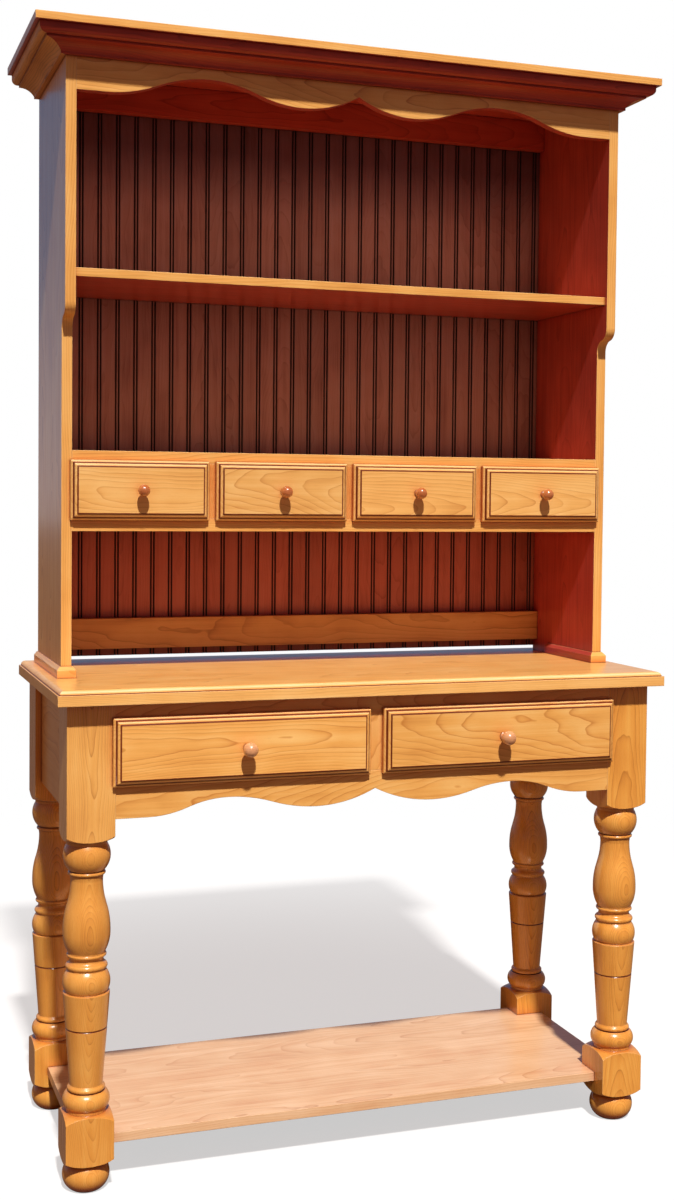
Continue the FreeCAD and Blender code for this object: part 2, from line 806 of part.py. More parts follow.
def crown_right():
    """Right-hand return of the crown moulding, mitred at the front."""
    reach = crown_moulding_projection
    length = prism("y", crown_outline(hutch_outer, 1), hutch_front - reach, hutch_back)
    plan = [(hutch_outer, hutch_front), (hutch_outer + reach, hutch_front - reach),
            (hutch_outer + reach, hutch_back), (hutch_outer, hutch_back)]
    return length.common(prism("z", plan, case_under, board_under))


def bead_steps(middle):
    """Quirk, round bead and quirk across the face of a plank, from left to right."""
    half = bead_width / 2
    outer = half + quirk_width
    shoulder = plank_front + quirk_depth / 2
    bottom = plank_front + quirk_depth
    quirk = half + quirk_width / 2
    return [(middle - outer, plank_front), (middle - quirk, bottom), (middle - half, shoulder),
            ((middle, plank_front), (middle + half, shoulder)),
            (middle + quirk, bottom), (middle + outer, plank_front)]


def plank(left):
    """Full-width plank: tongue on the left, groove on the right, a middle bead and an edge bead."""
    right = left + plank_pitch
    edge_bead = right - bead_width / 2 - quirk_width
    steps = [(left, plank_back), (left, plank_front)]
    steps += bead_steps(edge_bead - plank_pitch / 2) + bead_steps(edge_bead)
    steps += [(right, plank_back)]
    tongue_y = (plank_front + plank_back + quirk_depth) / 2
    tongue_span = (tongue_y - plank_tongue_thickness / 2, tongue_y + plank_tongue_thickness / 2)
    height = (counter_height + plank_end_gap, board_under)
    tongue = box((left - plank_tongue, left), tongue_span, height)
    groove = box((right - plank_tongue, right), tongue_span, height)
    return prism("z", steps, *height).cut(groove).fuse(tongue).removeSplitter()


def beadboard_back():
    """Row of planks from rabbet to rabbet; the outer two are ripped to fit."""
    reach = hutch_inner + plank_rabbet_width
    first_edge = first_bead + bead_width / 2 + quirk_width
    first = math.floor((-reach - first_edge) / plank_pitch)
    last = math.ceil((reach - first_edge) / plank_pitch)
    clear = box((-reach, reach), (plank_front, plank_back), (counter_height, board_under))
    return Part.Compound([plank(first_edge + number * plank_pitch).common(clear)
                          for number in range(first, last)])


def back_rail(low, high):
    """Rail between the sides, in front of the planks."""
    return box((-hutch_inner, hutch_inner), (plank_front - back_rail_thickness, plank_front), (low, high))


def base_strip(outline_axis, face_at, direction, low, high):
    """Strip with a bevelled upper edge, standing on the table top against one face."""
    steps = [(face_at, counter_height), (face_at + direction * base_thickness, counter_height),
             (face_at + direction * base_thickness, counter_height + base_height - base_bevel),
             (face_at + direction * base_thickness / 4, counter_height + base_height),
             (face_at, counter_height + base_height)]
    return prism(outline_axis, steps, low, high)


def base_moulding_right():
    """Three mitred strips around the foot of the right-hand side."""
    height = (counter_height, counter_height + base_height)
    thick = base_thickness
    front = case_front - thick
    outer_plan = [(hutch_outer, case_front), (hutch_outer + thick, front),
                  (hutch_outer + thick, hutch_back), (hutch_outer, hutch_back)]
    outer = base_strip("y", hutch_outer, 1, front, hutch_back).common(prism("z", outer_plan, *height))
    front_plan = [(hutch_inner, case_front), (hutch_outer, case_front),
                  (hutch_outer + thick, front), (hutch_inner - thick, front)]
    across = base_strip("x", case_front, -1, hutch_inner - thick, hutch_outer + thick)
    across = across.common(prism("z", front_plan, *height))
    inner_end = case_front + base_inner_length
    inner_plan = [(hutch_inner, case_front), (hutch_inner - thick, front),
                  (hutch_inner - thick, inner_end), (hutch_inner, inner_end)]
    inner = base_strip("y", hutch_inner, -1, front, inner_end).common(prism("z", inner_plan, *height))
    return Part.Compound([outer, across, inner])


# ---------------------------------------------------------------------------
# Drawers
# ---------------------------------------------------------------------------

def knob(radius, neck, length, tenon_depth):
    """Turned ball knob that stands on Z = 0, with its tenon below."""
    crown = length - knob_crown_height
    neck_height = crown - 2 * math.sqrt(radius ** 2 - ((neck + knob_crown_radius) / 2) ** 2)
    walk = Turning(0.0, length)
    walk.curve(knob_crown_radius / 2, knob_crown_height / 4, knob_crown_radius, knob_crown_height)
    ball_height = walk.height - neck_height
    walk.curve(radius, ball_height / 2, neck, ball_height)
    seat = neck + knob_seat_spread
    neck_length = walk.height - knob_seat_thickness
    walk.curve(neck - knob_neck_hollow, neck_length / 2, seat, neck_length)
    walk.straight(seat, knob_seat_thickness)
    walk.straight(knob_tenon_radius)
    walk.straight(knob_tenon_radius, tenon_depth)
    walk.straight(0.0)
    return turned(walk.steps)


def lip_section(edge, inward, back, surface):
    """Moulded edge of a drawer front, from its back edge to the flat of its face."""
    round_start = (edge, back - lip_edge)
    round_end = (edge + inward * lip_round_width, round_start[1] - lip_round_height)
    bead_start = (round_end[0], round_end[1] - lip_fillet)
    bead_end = (bead_start[0] + inward * lip_bead_width, surface + lip_quirk)
    return ([(edge, back), round_start] + level_arc(round_start, round_end, level_at_start=False)
            + [bead_start] + level_arc(bead_start, bead_end, level_at_start=False)
            + [(bead_end[0], surface)])


def reversed_steps(steps):
    """The same outline walked the other way."""
    ends = [step[1] if isinstance(step[0], tuple) else step for step in steps]
    back = [ends[-1]]
    for index in range(len(steps) - 1, 0, -1):
        step = steps[index]
        is_arc = isinstance(step[0], tuple)
        back.append((step[0], ends[index - 1]) if is_arc else ends[index - 1])
    return back


class Drawer:
    """Lipped drawer: every piece is placed from its opening and the frame's front face."""

    def __init__(self, middle, width, foot, top, frame_front, clear_back, sizes):
        self.middle = middle
        self.foot = foot
        self.top = top
        self.frame_front = frame_front
        self.half_opening = width / 2
        self.half_box = width / 2 - sizes["clearance"]
        self.lip = sizes["lip"]
        self.side = sizes["side"]
        self.thickness = sizes["front"]
        self.face = frame_front - drawer_proud
        self.front_back = self.face + self.thickness
        self.box_back = clear_back - sizes["back_space"]
        self.ride = foot + running_gap
        self.side_top = top - box_headroom
        self.groove_foot = self.ride + bottom_rise
        self.groove_top = self.groove_foot + bottom_thickness

    def front(self):
        """Front with moulded lips, sockets for the sides' dovetails and the groove for the bottom."""
        lip_back = self.frame_front - running_gap
        low_x, high_x = -self.half_opening - self.lip, self.half_opening + self.lip
        low_z, high_z = self.foot - self.lip, self.top + self.lip
        across = lip_section(low_x, 1, lip_back, self.face)
        across += reversed_steps(lip_section(high_x, -1, lip_back, self.face))
        upright = [swap_pair(step) for step in lip_section(low_z, 1, lip_back, self.face)]
        upright += [swap_pair(step) for step in reversed_steps(lip_section(high_z, -1, lip_back, self.face))]
        board = prism("z", across, low_z, high_z).common(prism("x", upright, low_x, high_x))
        body = box((-self.half_box, self.half_box), (self.face + drawer_proud / 2, self.front_back),
                   (self.foot + front_fit, self.top - front_fit))
        shape = board.fuse(body).removeSplitter()
        for tail in self.front_tails():
            shape = shape.cut(tail).cut(mirrored(tail))
        shape = shape.cut(self.bottom_here())
        hole = Part.makeCylinder(knob_tenon_radius + knob_tenon_clearance, self.thickness,
                                 FreeCAD.Vector(0, self.face, self.knob_height()), FreeCAD.Vector(0, 1, 0))
        return moved(shape.cut(hole), self.middle)

    def knob_height(self):
        """Height of the knob's middle."""
        return (self.foot + self.top) / 2

    def tails(self, root, tip, low, high):
        """Dovetails of the right-hand side between two heights, widening from root to tip."""
        count = round((high - low) / tail_spacing)
        pitch = (high - low) / count
        wide = pitch * tail_share / 2
        narrow = wide - abs(tip - root) * tail_slope
        shapes = []
        for number in range(count):
            middle = low + (number + 0.5) * pitch
            outline = [(root, middle - narrow), (tip, middle - wide),
                       (tip, middle + wide), (root, middle + narrow)]
            shapes.append(prism("x", outline, self.half_box - self.side, self.half_box))
        return shapes

    def front_tails(self):
        """Half-blind dovetails that end inside the front."""
        return self.tails(self.front_back, self.front_back - front_tail_length, self.ride, self.side_top)

    def side_here(self):
        """Right-hand side, before the drawer is put in its place."""
        inner = self.half_box - self.side
        board = box((inner, self.half_box), (self.front_back, self.box_back), (self.ride, self.side_top))
        for tail in self.front_tails():
            board = board.fuse(tail)
        groove = box((inner, inner + bottom_lap), (self.front_back - front_tail_length, self.box_back),
                     (self.groove_foot, self.groove_top))
        return board.cut(groove).cut(self.back_here()).removeSplitter()

    def sides_here(self):
        """Both sides."""
        right = self.side_here()
        return Part.Compound([mirrored(right), right])

    def back_here(self):
        """Back, standing on the bottom panel, its ends cut into pins between the sides' dovetails."""
        inner = self.box_back - self.side
        height = (self.groove_top, self.side_top - back_drop)
        board = box((-self.half_box, self.half_box), (inner, self.box_back), height)
        for tail in self.tails(inner, self.box_back, *height):
            board = board.cut(tail).cut(mirrored(tail))
        return board.removeSplitter()

    def bottom_here(self):
        """Bottom panel, slid in from behind under the back."""
        half = self.half_box - self.side + bottom_lap
        return box((-half, half), (self.front_back - bottom_lap, self.box_back),
                   (self.groove_foot, self.groove_top))

    def sides(self):
        return moved(self.sides_here(), self.middle)

    def back(self):
        return moved(self.back_here(), self.middle)

    def bottom(self):
        return moved(self.bottom_here(), self.middle)

    def knob(self, radius, neck, length):
        """Knob in the middle of the front, its tenon ending flush inside."""
        shape = knob(radius, neck, length, self.thickness)
        shape.rotate(FreeCAD.Vector(0, 0, 0), FreeCAD.Vector(1, 0, 0), 90)
        return moved(shape, self.middle, self.face, self.knob_height())


def swap_pair(step):
    """Step as drawn for the other plane, where the depth comes first."""
    if isinstance(step[0], tuple):
        return tuple((second, first) for first, second in step)
    return (step[1], step[0])


large_sizes = {"clearance": large_side_clearance, "lip": large_lip, "side": large_side_thickness,
               "front": large_front_thickness, "back_space": large_back_space}
small_sizes = {"clearance": small_side_clearance, "lip": small_lip, "side": small_side_thickness,
               "front": small_front_thickness, "back_space": small_back_space}


def large_drawer(side):
    """Drawer of the table, side -1 for the left one and 1 for the right one."""
    return Drawer(side * large_opening_middle, large_opening_width, large_opening_foot, large_opening_top,
                  leg_front, rear_apron_front, large_sizes)


def small_drawer(number):
    """Drawer of the hutch, counted from the left."""
    return Drawer(small_opening_middle(number), small_opening_width, small_opening_foot, small_opening_top,
                  case_front, plank_front, small_sizes)


# ---------------------------------------------------------------------------
# All nodes
# ---------------------------------------------------------------------------

def table_nodes():
    """Every fixed piece of the table."""
    side_apron = side_apron_right()
    shelf = lower_shelf()
    nodes = {"table_top": table_top(), "front_top_rail": front_top_rail(), "drawer_stile": drawer_stile(),
             "front_apron": front_apron(), "rear_apron": rear_apron(), "lower_shelf": shelf,
             "side_apron_right": side_apron, "side_apron_left": mirrored(side_apron),
             "side_runner_right": side_runner_right(), "side_runner_left": mirrored(side_runner_right()),
             "centre_runner": centre_runner(), "kickers": kickers(), "top_buttons": button_tongues()}
    x_middle = (leg_inner + leg_outer) / 2
    front_joined = [nodes["front_top_rail"], nodes["front_apron"], side_apron, shelf]
    front_leg = leg(x_middle, (leg_front + leg_front_rear_face) / 2, front_joined)
    rear_leg = leg(x_middle, (leg_back + leg_back_front_face) / 2, [nodes["rear_apron"], side_apron, shelf])
    nodes.update({"leg_front_right": front_leg, "leg_front_left": mirrored(front_leg),
                  "leg_rear_right": rear_leg, "leg_rear_left": mirrored(rear_leg)})
    return nodes


def hutch_nodes():
    """Every fixed piece of the hutch."""
    nodes = {"plate_shelf": plate_shelf(), "case_top": case_top(), "case_bottom": case_bottom(),
             "case_dividers": case_dividers(), "hutch_top": hutch_top(), "valance": valance(),
             "crown_front": crown_front(), "crown_right": crown_right(),
             "crown_left": mirrored(crown_right()), "beadboard_back": beadboard_back(),
             "back_top_rail": back_rail(board_under - back_top_rail_height, board_under)}
    rail_foot = counter_height + back_bottom_rail_rise
    nodes["back_bottom_rail"] = back_rail(rail_foot, rail_foot + back_bottom_rail_height)
    side = side_right([nodes["plate_shelf"], nodes["case_top"], nodes["case_bottom"]])
    base = base_moulding_right()
    nodes.update({"hutch_side_right": side, "hutch_side_left": mirrored(side),
                  "base_moulding_right": base, "base_moulding_left": mirrored(base)})
    return nodes


def drawer_nodes():
    """Every piece of the six drawers."""
    nodes = {}
    for name, side in (("left", -1), ("right", 1)):
        drawer = large_drawer(side)
        prefix = "large_drawer_" + name
        nodes[prefix + "_front"] = drawer.front()
        nodes[prefix + "_sides"] = drawer.sides()
        nodes[prefix + "_back"] = drawer.back()
        nodes[prefix + "_bottom"] = drawer.bottom()
        nodes[prefix + "_knob"] = drawer.knob(large_knob_radius, large_knob_neck, large_knob_length)
    for number in range(small_drawer_count):
        drawer = small_drawer(number)
        prefix = "small_drawer_" + str(number + 1)
        nodes[prefix + "_front"] = drawer.front()
        nodes[prefix + "_sides_and_back"] = Part.Compound(drawer.sides().Solids + [drawer.back()])
        nodes[prefix + "_bottom"] = drawer.bottom()
        nodes[prefix + "_knob"] = drawer.knob(small_knob_radius, small_knob_neck, small_knob_length)
    return nodes


def main():
    """Write one STEP file for every node."""
    os.makedirs("parts", exist_ok=True)
    nodes = {**table_nodes(), **hutch_nodes(), **drawer_nodes()}
    for name, shape in nodes.items():
        shape.exportStep("parts/" + name + ".step")
    print(len(nodes), "nodes written")


main()
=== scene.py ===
# %% [markdown]
# # Step back cupboard
# An open hutch stands on a table with turned legs. Each piece is a board of its own, already
# cut and jointed as a solid, so this lesson gives the boards their finish. Outside it is solid
# cherry under a satin clear coat. The drawer boxes inside are planed maple, left bare.

# %% Load the solids
import bpy
import math
from mathutils import Matrix, Vector


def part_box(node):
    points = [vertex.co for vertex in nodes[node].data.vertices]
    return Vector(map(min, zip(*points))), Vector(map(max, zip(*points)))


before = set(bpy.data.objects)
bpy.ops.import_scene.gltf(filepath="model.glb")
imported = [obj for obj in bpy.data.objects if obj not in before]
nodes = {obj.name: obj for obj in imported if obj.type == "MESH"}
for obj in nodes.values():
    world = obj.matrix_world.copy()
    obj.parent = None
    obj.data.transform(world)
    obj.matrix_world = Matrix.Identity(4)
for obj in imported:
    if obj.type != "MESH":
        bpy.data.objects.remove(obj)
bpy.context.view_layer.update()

# %% [markdown]
# ## Two helpers
# A shader tree can be drawn by hand in the shader editor or built in code. Code suits this
# piece better, as all its boards share one recipe. One function turns a colour as a painter
# writes it into the linear light that the renderer works in. The other adds a shader node
# with its settings and links. A word after the node's kind is its operation, so "Math ADD"
# adds two numbers.

# %% Colours and shader nodes
def linear(hex_colour):
    """sRGB hex colour, such as "#e9a34f", as linear RGBA."""
    parts = [int(hex_colour[i:i + 2], 16) / 255 for i in (1, 3, 5)]
    return [p / 12.92 if p <= 0.04045 else ((p + 0.055) / 1.055) ** 2.4 for p in parts] + [1.0]


def add(tree, kind, *inputs, output=0, **settings):
    """Adds a shader node and gives back one of its outputs, or all with output=None.
    Inputs come in order, or in a dict by name or number. Each is a plain value or the
    output that feeds it."""
    kind, _, operation = kind.partition(" ")
    made = tree.nodes.new("ShaderNode" + kind)
    if operation:
        made.operation = operation
    for key, value in settings.items():
        setattr(made, key, value)
    for index, given in enumerate(inputs):
        for key, value in (given.items() if isinstance(given, dict) else [(index, given)]):
            if isinstance(value, bpy.types.NodeSocket):
                tree.links.new(value, made.inputs[key])
            else:
                made.inputs[key].default_value = value
    return made.outputs if output is None else made.outputs[output]


SMOOTH = {"interpolation_type": "SMOOTHSTEP"}    # MapRange from 0 to 1 that eases in and out
COLOURS = {"data_type": "RGBA", "output": 2}     # Mix of two colours, its inputs 6 and 7
print("a honey colour in linear light:", [round(v, 3) for v in linear("#f2b05c")])

# %% [markdown]
# ## How a board gets its figure
# A tree grows in rings around its pith. A board is a flat cut through those rings, so the
# same rings show as tall arches on its face, as straight lines on its edges and as curves on
# its ends. A flat wood pattern could be laid on each face, but it would break at every edge.
# Working the rings out in space, around a pith that sways a little behind the board, gives
# all three at once, and turned legs get true figure too.

# %% Patterns along the grain, in waves per metre
FIBRE = (9.0, 420.0, 420.0)       # 110 mm long, 2.4 mm wide: coarser than real, or it won't show
STREAK = (1.6, 75.0, 75.0)        # 600 mm long, 13 mm wide
FLECK = (70.0, 1500.0, 1500.0)    # 14 mm long, 0.7 mm wide
CLOUD = (9.0, 12.0, 12.0)         # soft patches about 100 mm across
SWAY = (1.5, 5.0, 5.0)            # the pith bends once in 670 mm
RIPPLE = (9.0, 20.0, 20.0)        # the rings wave once in 50 to 110 mm


def grain_pattern(tree, place, scale, detail, shift, output="Fac"):
    """A pattern stretched along the grain, moved so that no two boards share it."""
    stretched = add(tree, "VectorMath MULTIPLY", place, scale)
    moved = add(tree, "VectorMath ADD", stretched, shift)
    return add(tree, "TexNoise", {"Vector": moved, "Scale": 1.0, "Detail": detail}, output=output)


def wander(tree, place, scale, detail, shift):
    """Three numbers that each wander around zero."""
    colour = grain_pattern(tree, place, scale, detail, shift, "Color")
    centred = add(tree, "VectorMath SUBTRACT", colour, (0.5, 0.5, 0.5))
    return add(tree, "SeparateXYZ", centred, output=None)


print("fibres", round(1000 / FIBRE[1], 1), "mm wide, streaks", round(1000 / STREAK[1], 1), "mm")

# %% The lumber group: metres in, rings and fibres out
LOG_SPREAD = 40.0        # how far apart in the noise two boards are taken
PITH_ASIDE = 0.05        # metres the pith may lie left or right of a board's middle, in all
PITH_BEHIND = 0.055      # metres from a board's middle back to the pith, before chance and sway
PITH_DEEPER = 0.05       # and how much further chance puts it at the most
SWAY_ASIDE, SWAY_BEHIND, RIPPLE_DEPTH = 0.10, 0.075, 0.008    # metres
LATE_WOOD = 12.0         # the higher, the finer the dark end of each year's ring
RING_END = 0.96          # share of a year after which its dark line fades out again
WEAK_YEAR = 0.25         # strength of the faintest ring


def lumber_group():
    """Place is along the grain, across the board's face, and through the board."""
    group = bpy.data.node_groups.new("lumber", "ShaderNodeTree")
    for name, kind in (("Place", "Vector"), ("Board width", "Float"), ("Ring spacing", "Float"),
                       ("Slope", "Float"), ("Seed", "Float")):
        group.interface.new_socket(name, in_out="INPUT", socket_type="NodeSocket" + kind)
    for name in ("Rings", "Season", "Fibre", "Streak", "Fleck", "Cloud", "Board", "Heart"):
        group.interface.new_socket(name, in_out="OUTPUT", socket_type="NodeSocketFloat")
    start = group.nodes.new("NodeGroupInput").outputs
    end = group.nodes.new("NodeGroupOutput").inputs
    place, width, seed = start["Place"], start["Board width"], start["Seed"]

    # A glued-up panel is several boards wide, and each board comes from a log of its own.
    along, across, through = add(group, "SeparateXYZ", place, output=None)
    boards = add(group, "Math DIVIDE", across, width)
    number = add(group, "Math FLOOR", add(group, "Math ADD", boards, 0.5))
    local = add(group, "Math SUBTRACT", across, add(group, "Math MULTIPLY", number, width))
    lot = add(group, "CombineXYZ", number, seed)
    log = add(group, "TexWhiteNoise", {"Vector": lot}, output="Color", noise_dimensions="3D")
    first, second, third = add(group, "SeparateXYZ", log, output=None)
    shift = add(group, "VectorMath SCALE", log, {"Scale": LOG_SPREAD})

    # The pith sways, and it slopes along the board, which nests the arches in one another.
    sway = wander(group, place, SWAY, 1.0, shift)
    ripple = wander(group, place, RIPPLE, 2.0, shift)
    chance = add(group, "Math SUBTRACT", first, 0.5)
    aside = add(group, "Math MULTIPLY_ADD", chance, PITH_ASIDE, local)
    aside = add(group, "Math MULTIPLY_ADD", sway[0], SWAY_ASIDE, aside)
    behind = add(group, "Math ADD", through, PITH_BEHIND)
    behind = add(group, "Math MULTIPLY_ADD", second, PITH_DEEPER, behind)
    behind = add(group, "Math MULTIPLY_ADD", sway[1], SWAY_BEHIND, behind)
    tilt = add(group, "Math MULTIPLY", add(group, "Math SUBTRACT", third, 0.5), start["Slope"])
    behind = add(group, "Math MULTIPLY_ADD", along, tilt, behind)
    squares = [add(group, "Math MULTIPLY", side, side) for side in (aside, behind)]
    radius = add(group, "Math SQRT", add(group, "Math ADD", *squares))
    radius = add(group, "Math MULTIPLY_ADD", ripple[0], RIPPLE_DEPTH, radius)

    # Each year ends in a fine darker line of late wood, stronger in some years than in others.
    years = add(group, "Math DIVIDE", radius, start["Ring spacing"])
    season = add(group, "Math FRACT", years)
    line = add(group, "Math POWER", season, LATE_WOOD)
    line = add(group, "Math MULTIPLY", line,
               add(group, "MapRange", season, 1.0, RING_END, **SMOOTH))
    year = add(group, "Math ADD", add(group, "Math FLOOR", years), seed)
    vigour = add(group, "TexWhiteNoise", {"W": year}, output="Value", noise_dimensions="1D")
    vigour = add(group, "Math MULTIPLY_ADD", vigour, 1.0 - WEAK_YEAR, WEAK_YEAR)

    results = {"Rings": add(group, "Math MULTIPLY", line, vigour), "Season": season,
               "Fibre": grain_pattern(group, place, FIBRE, 3.0, shift),
               "Streak": grain_pattern(group, place, STREAK, 2.0, shift),
               "Fleck": grain_pattern(group, place, FLECK, 1.0, shift),
               "Cloud": grain_pattern(group, place, CLOUD, 2.0, shift),
               "Board": third, "Heart": radius}
    for name, socket in results.items():
        group.links.new(socket, end[name])
    return group


lumber = lumber_group()
print("lumber group:", len(lumber.nodes), "nodes")

# %% [markdown]
# ## Finishes
# Cherry is honey-orange when new and turns red-brown with light and age. Its rings are quiet
# and its pores too small to see. The eye knows it by warm even colour with darker arches, and
# by the soft shine of the satin coat. Each finish has a light, a middle and a dark tone of the
# wood and the colour of its ring lines. One finish for the whole would be simpler, but an old
# piece isn't even: tops bleach and hands darken knobs. Some finishes also carry painted shade
# or a painted highlight: the red-brown of the shaded inside, undersides and crown, and the pale
# faces of mouldings that catch the light. A solid piece of cherry or maple has the same colour
# all through, so paint or veneer won't do.

# %% Colours and shine of each finish
def finish(light, middle, dark, line, rings, roughness=0.34, coat=0.30, shine=0.40, **more):
    """A finish. reach, hollow, depth: how far from a hollow its painted shade starts, the
    shade's colour and its strength. quirk: colour of old finish and painted shade in corners."""
    usual = {"rubbed": light, "reach": 0.030, "hollow": "#c8603a", "depth": 0.5,
             "quirk": "#7a2c10", "uneven": 0.09, "spacing": 0.0045}
    return {**usual, "light": light, "middle": middle, "dark": dark, "line": line,
            "rings": rings, "roughness": roughness, "coat": coat, "shine": shine, **more}


# Painted shade in hollows, deeper and redder, and a pale arris for wear and painted highlight.
shade_and_highlight = {"rubbed": "#ffe2b0", "hollow": "#e07850", "depth": 0.75}
# On the legs the painted shade in hollows is stronger still.
leg = {"roughness": 0.28, "coat": 0.50, "shine": 0.45, "depth": 0.8, "spacing": 0.003}
finishes = {
    # Cherry under satin varnish, scraped and sanded smooth: warm and even, with a soft shine.
    # Satin is on most outer faces, fair on the small drawers, golden on the bleached top, pale
    # on the low shelf, and highlit, a painted highlight, on moulded faces that catch the light.
    "satin cherry": finish("#fcc87a", "#f2b05c", "#cf8539", "#b0540c", 0.85, **shade_and_highlight),
    "fair cherry": finish("#f8c981", "#edb264", "#cc8941", "#b35c10", 0.85, **shade_and_highlight),
    "golden cherry": finish("#fdcd86", "#f5b868", "#d48f49", "#96511a", 0.60,
                            roughness=0.32, coat=0.20, **shade_and_highlight),
    "pale cherry": finish("#f6cfa8", "#e8ba8d", "#d49264", "#a8602c", 0.65, coat=0.20, shine=0.35),
    # A painted highlight: paler cherry for moulded faces that catch the light.
    "rubbed cherry": finish("#ffe4bb", "#f9d29c", "#e8b474", "#b87434", 0.50),
    # Turned cherry, burnished on the lathe: deeper in colour and glossier. Deep is on the legs,
    # pied on the one from a paler blank, ruddy on the small knobs and peach on the large ones.
    "deep cherry": finish("#f4b65a", "#e59c44", "#bc7028", "#853c08", 0.85,
                          rubbed="#ffe2b0", sapwood="#f4b868", **leg),
    "pied cherry": finish("#fec878", "#f1b05c", "#cb8440", "#a05a20", 0.85,
                          rubbed="#f4b65a", **leg),
    "ruddy cherry": finish("#dc8f58", "#c6703a", "#9c4c20", "#7a3410", 0.50, 0.20, 0.80, 0.6),
    "peach cherry": finish("#f2bc8c", "#e4a472", "#be7444", "#8a4418", 0.50, 0.22, 0.80, 0.6),
    # Cherry with little coat left: dull, so that it looks deep in shade. Plank, red and crown
    # are darker and redder with painted shade, that of the hutch's inside, of undersides and of
    # the crown's shadow. Plank is on the front of the back boards and rear on their rear, red on
    # the hutch's inner faces and undersides, crown on the crown's front and the back's top rail,
    # shaded on its bottom rail, and dim on the crown's ends.
    # Back boards' pale ground, with painted shade from the height tint and in its wide hollows.
    "plank cherry in painted shade": finish("#ffced0", "#f0b4b0", "#9f625c", "#5d2821", 0.35, 0.45, 0.1, 0.3,
                          reach=0.10, hollow="#84402a", quirk="#200c08", uneven=0.20,
                          spacing=0.003),
    "rear cherry": finish("#d8826c", "#c06c54", "#8a3e30", "#4e190e", 0.35),
    # Painted shade: the red-brown of the hutch's shaded inner faces and undersides.
    "red cherry in painted shade": finish("#d0584c", "#ba493d", "#903029", "#601a14", 0.55),
    # Painted shade: the dark red of faces in the crown's shadow.
    "crown cherry in painted shade": finish("#c84e3a", "#b54030", "#8e2d20", "#6f2014", 0.75, 0.42, 0.1, 0.3),
    "shaded cherry": finish("#e6ac6a", "#d89b58", "#b26e3e", "#6b2c10", 0.85, 0.40, 0.1, 0.3),
    "dim cherry": finish("#f6b266", "#e8a25a", "#ba7a42", "#4c200c", 0.85, 0.55, 0.0, 0.15),
    # Maple straight from the plane, without a coat, as boxes slide better so: pale and dull.
    "planed maple": finish("#eed3a6", "#e2bf8c", "#c79c69", "#a9804f", 0.50, 0.58, 0.0, 0.3),
}
print(len(finishes), "finishes")

# %% [markdown]
# ## From rings to colour
# The ground is a ramp between the three tones, moved by clouds, streaks, fibres and the
# season of growth. The ring lines and flecks are laid over it. A picture of wood would be
# quicker, but a ramp keeps every board different and its finish easy to change. A tint that
# changes with height is multiplied on top later: a stain on one leg, and on the back boards
# painted shade, darkest under the top, with warmer painted light near the table.

# %% Colour of the wood, and a stain or painted shade by height
GROUND = 0.42             # place on the ramp of wood that is neither light nor dark
MIDDLE_TONE = 0.45
TALLEST = 2.2             # metres, a little over the cupboard's height
TONE_WEIGHTS = (("Cloud", 0.75), ("Streak", 0.65), ("Fibre", 0.35))
SEASON_WEIGHT = 0.24      # less for boards with quiet rings
FLECK_RANGE = (0.62, 0.74)
FLECK_SHARE = 0.14


def wood_colour(tree, figure, look):
    """Streaky cloudy ground, fine dark lines of late wood, small flecks."""
    shade = GROUND
    for name, weight in (*TONE_WEIGHTS, ("Season", SEASON_WEIGHT * look["rings"])):
        centred = add(tree, "Math SUBTRACT", figure[name], 0.5)
        shade = add(tree, "Math MULTIPLY_ADD", centred, weight, shade)
    ground = add(tree, "ValToRGB", shade)
    stops = ground.node.color_ramp.elements
    stops[0].color, stops[1].color = linear(look["light"]), linear(look["dark"])
    stops.new(MIDDLE_TONE).color = linear(look["middle"])
    lines = add(tree, "Math MULTIPLY", figure["Rings"], look["rings"])
    colour = add(tree, "Mix", {0: lines, 6: ground, 7: linear(look["line"])}, **COLOURS)
    fleck = add(tree, "MapRange", figure["Fleck"], *FLECK_RANGE, **SMOOTH)
    fleck = add(tree, "Math MULTIPLY", fleck, FLECK_SHARE)
    return add(tree, "Mix", {0: fleck, 6: colour, 7: linear(look["line"])}, **COLOURS)


def tint_by_height(tree, position, tints):
    """Stain or painted shade that changes with height, from pairs of a height and a colour."""
    height = add(tree, "SeparateXYZ", position, output=2)
    stain = add(tree, "ValToRGB", add(tree, "Math DIVIDE", height, TALLEST))
    stops = stain.node.color_ramp.elements
    stops[0].color, stops[1].color = linear(tints[0][1]), linear(tints[-1][1])
    for at, colour in tints:
        stops.new(at / TALLEST).color = linear(colour)
    return stain


print("ring lines every", sorted({look["spacing"] for look in finishes.values()}), "m")

# %% [markdown]
# ## Dark lines in sharp corners
# Varnish and dust gather in quirks, the sharp inner corners of a moulding, and shade falls
# there too: the dark line drawn in them is old finish and painted shade. Ambient occlusion
# finds hollows by itself, but blurs quirks that are a millimetre wide. So each moulding says
# how far a point is from its quirks, and a thin dark line is drawn there.

# %% Distance from each moulding's quirks, in metres
LIP_QUIRKS = (0.0052, 0.0124)     # inwards from a drawer front's edge
TOP_STEP_ASIDE = 0.004            # inwards from the table top's edge
TOP_STEP_HEIGHT = 0.0195          # up from the table top's underside
FIRST_BEAD = 0.0063               # from the middle of the hutch to a bead's middle
BEAD_PITCH = 0.0382
BEAD_TO_QUIRK = 0.0031
BEAD_LINE = 0.78                  # below 1, the lines beside the beads are wider than others
SCRIBED_HEIGHT = 0.2985           # above the floor


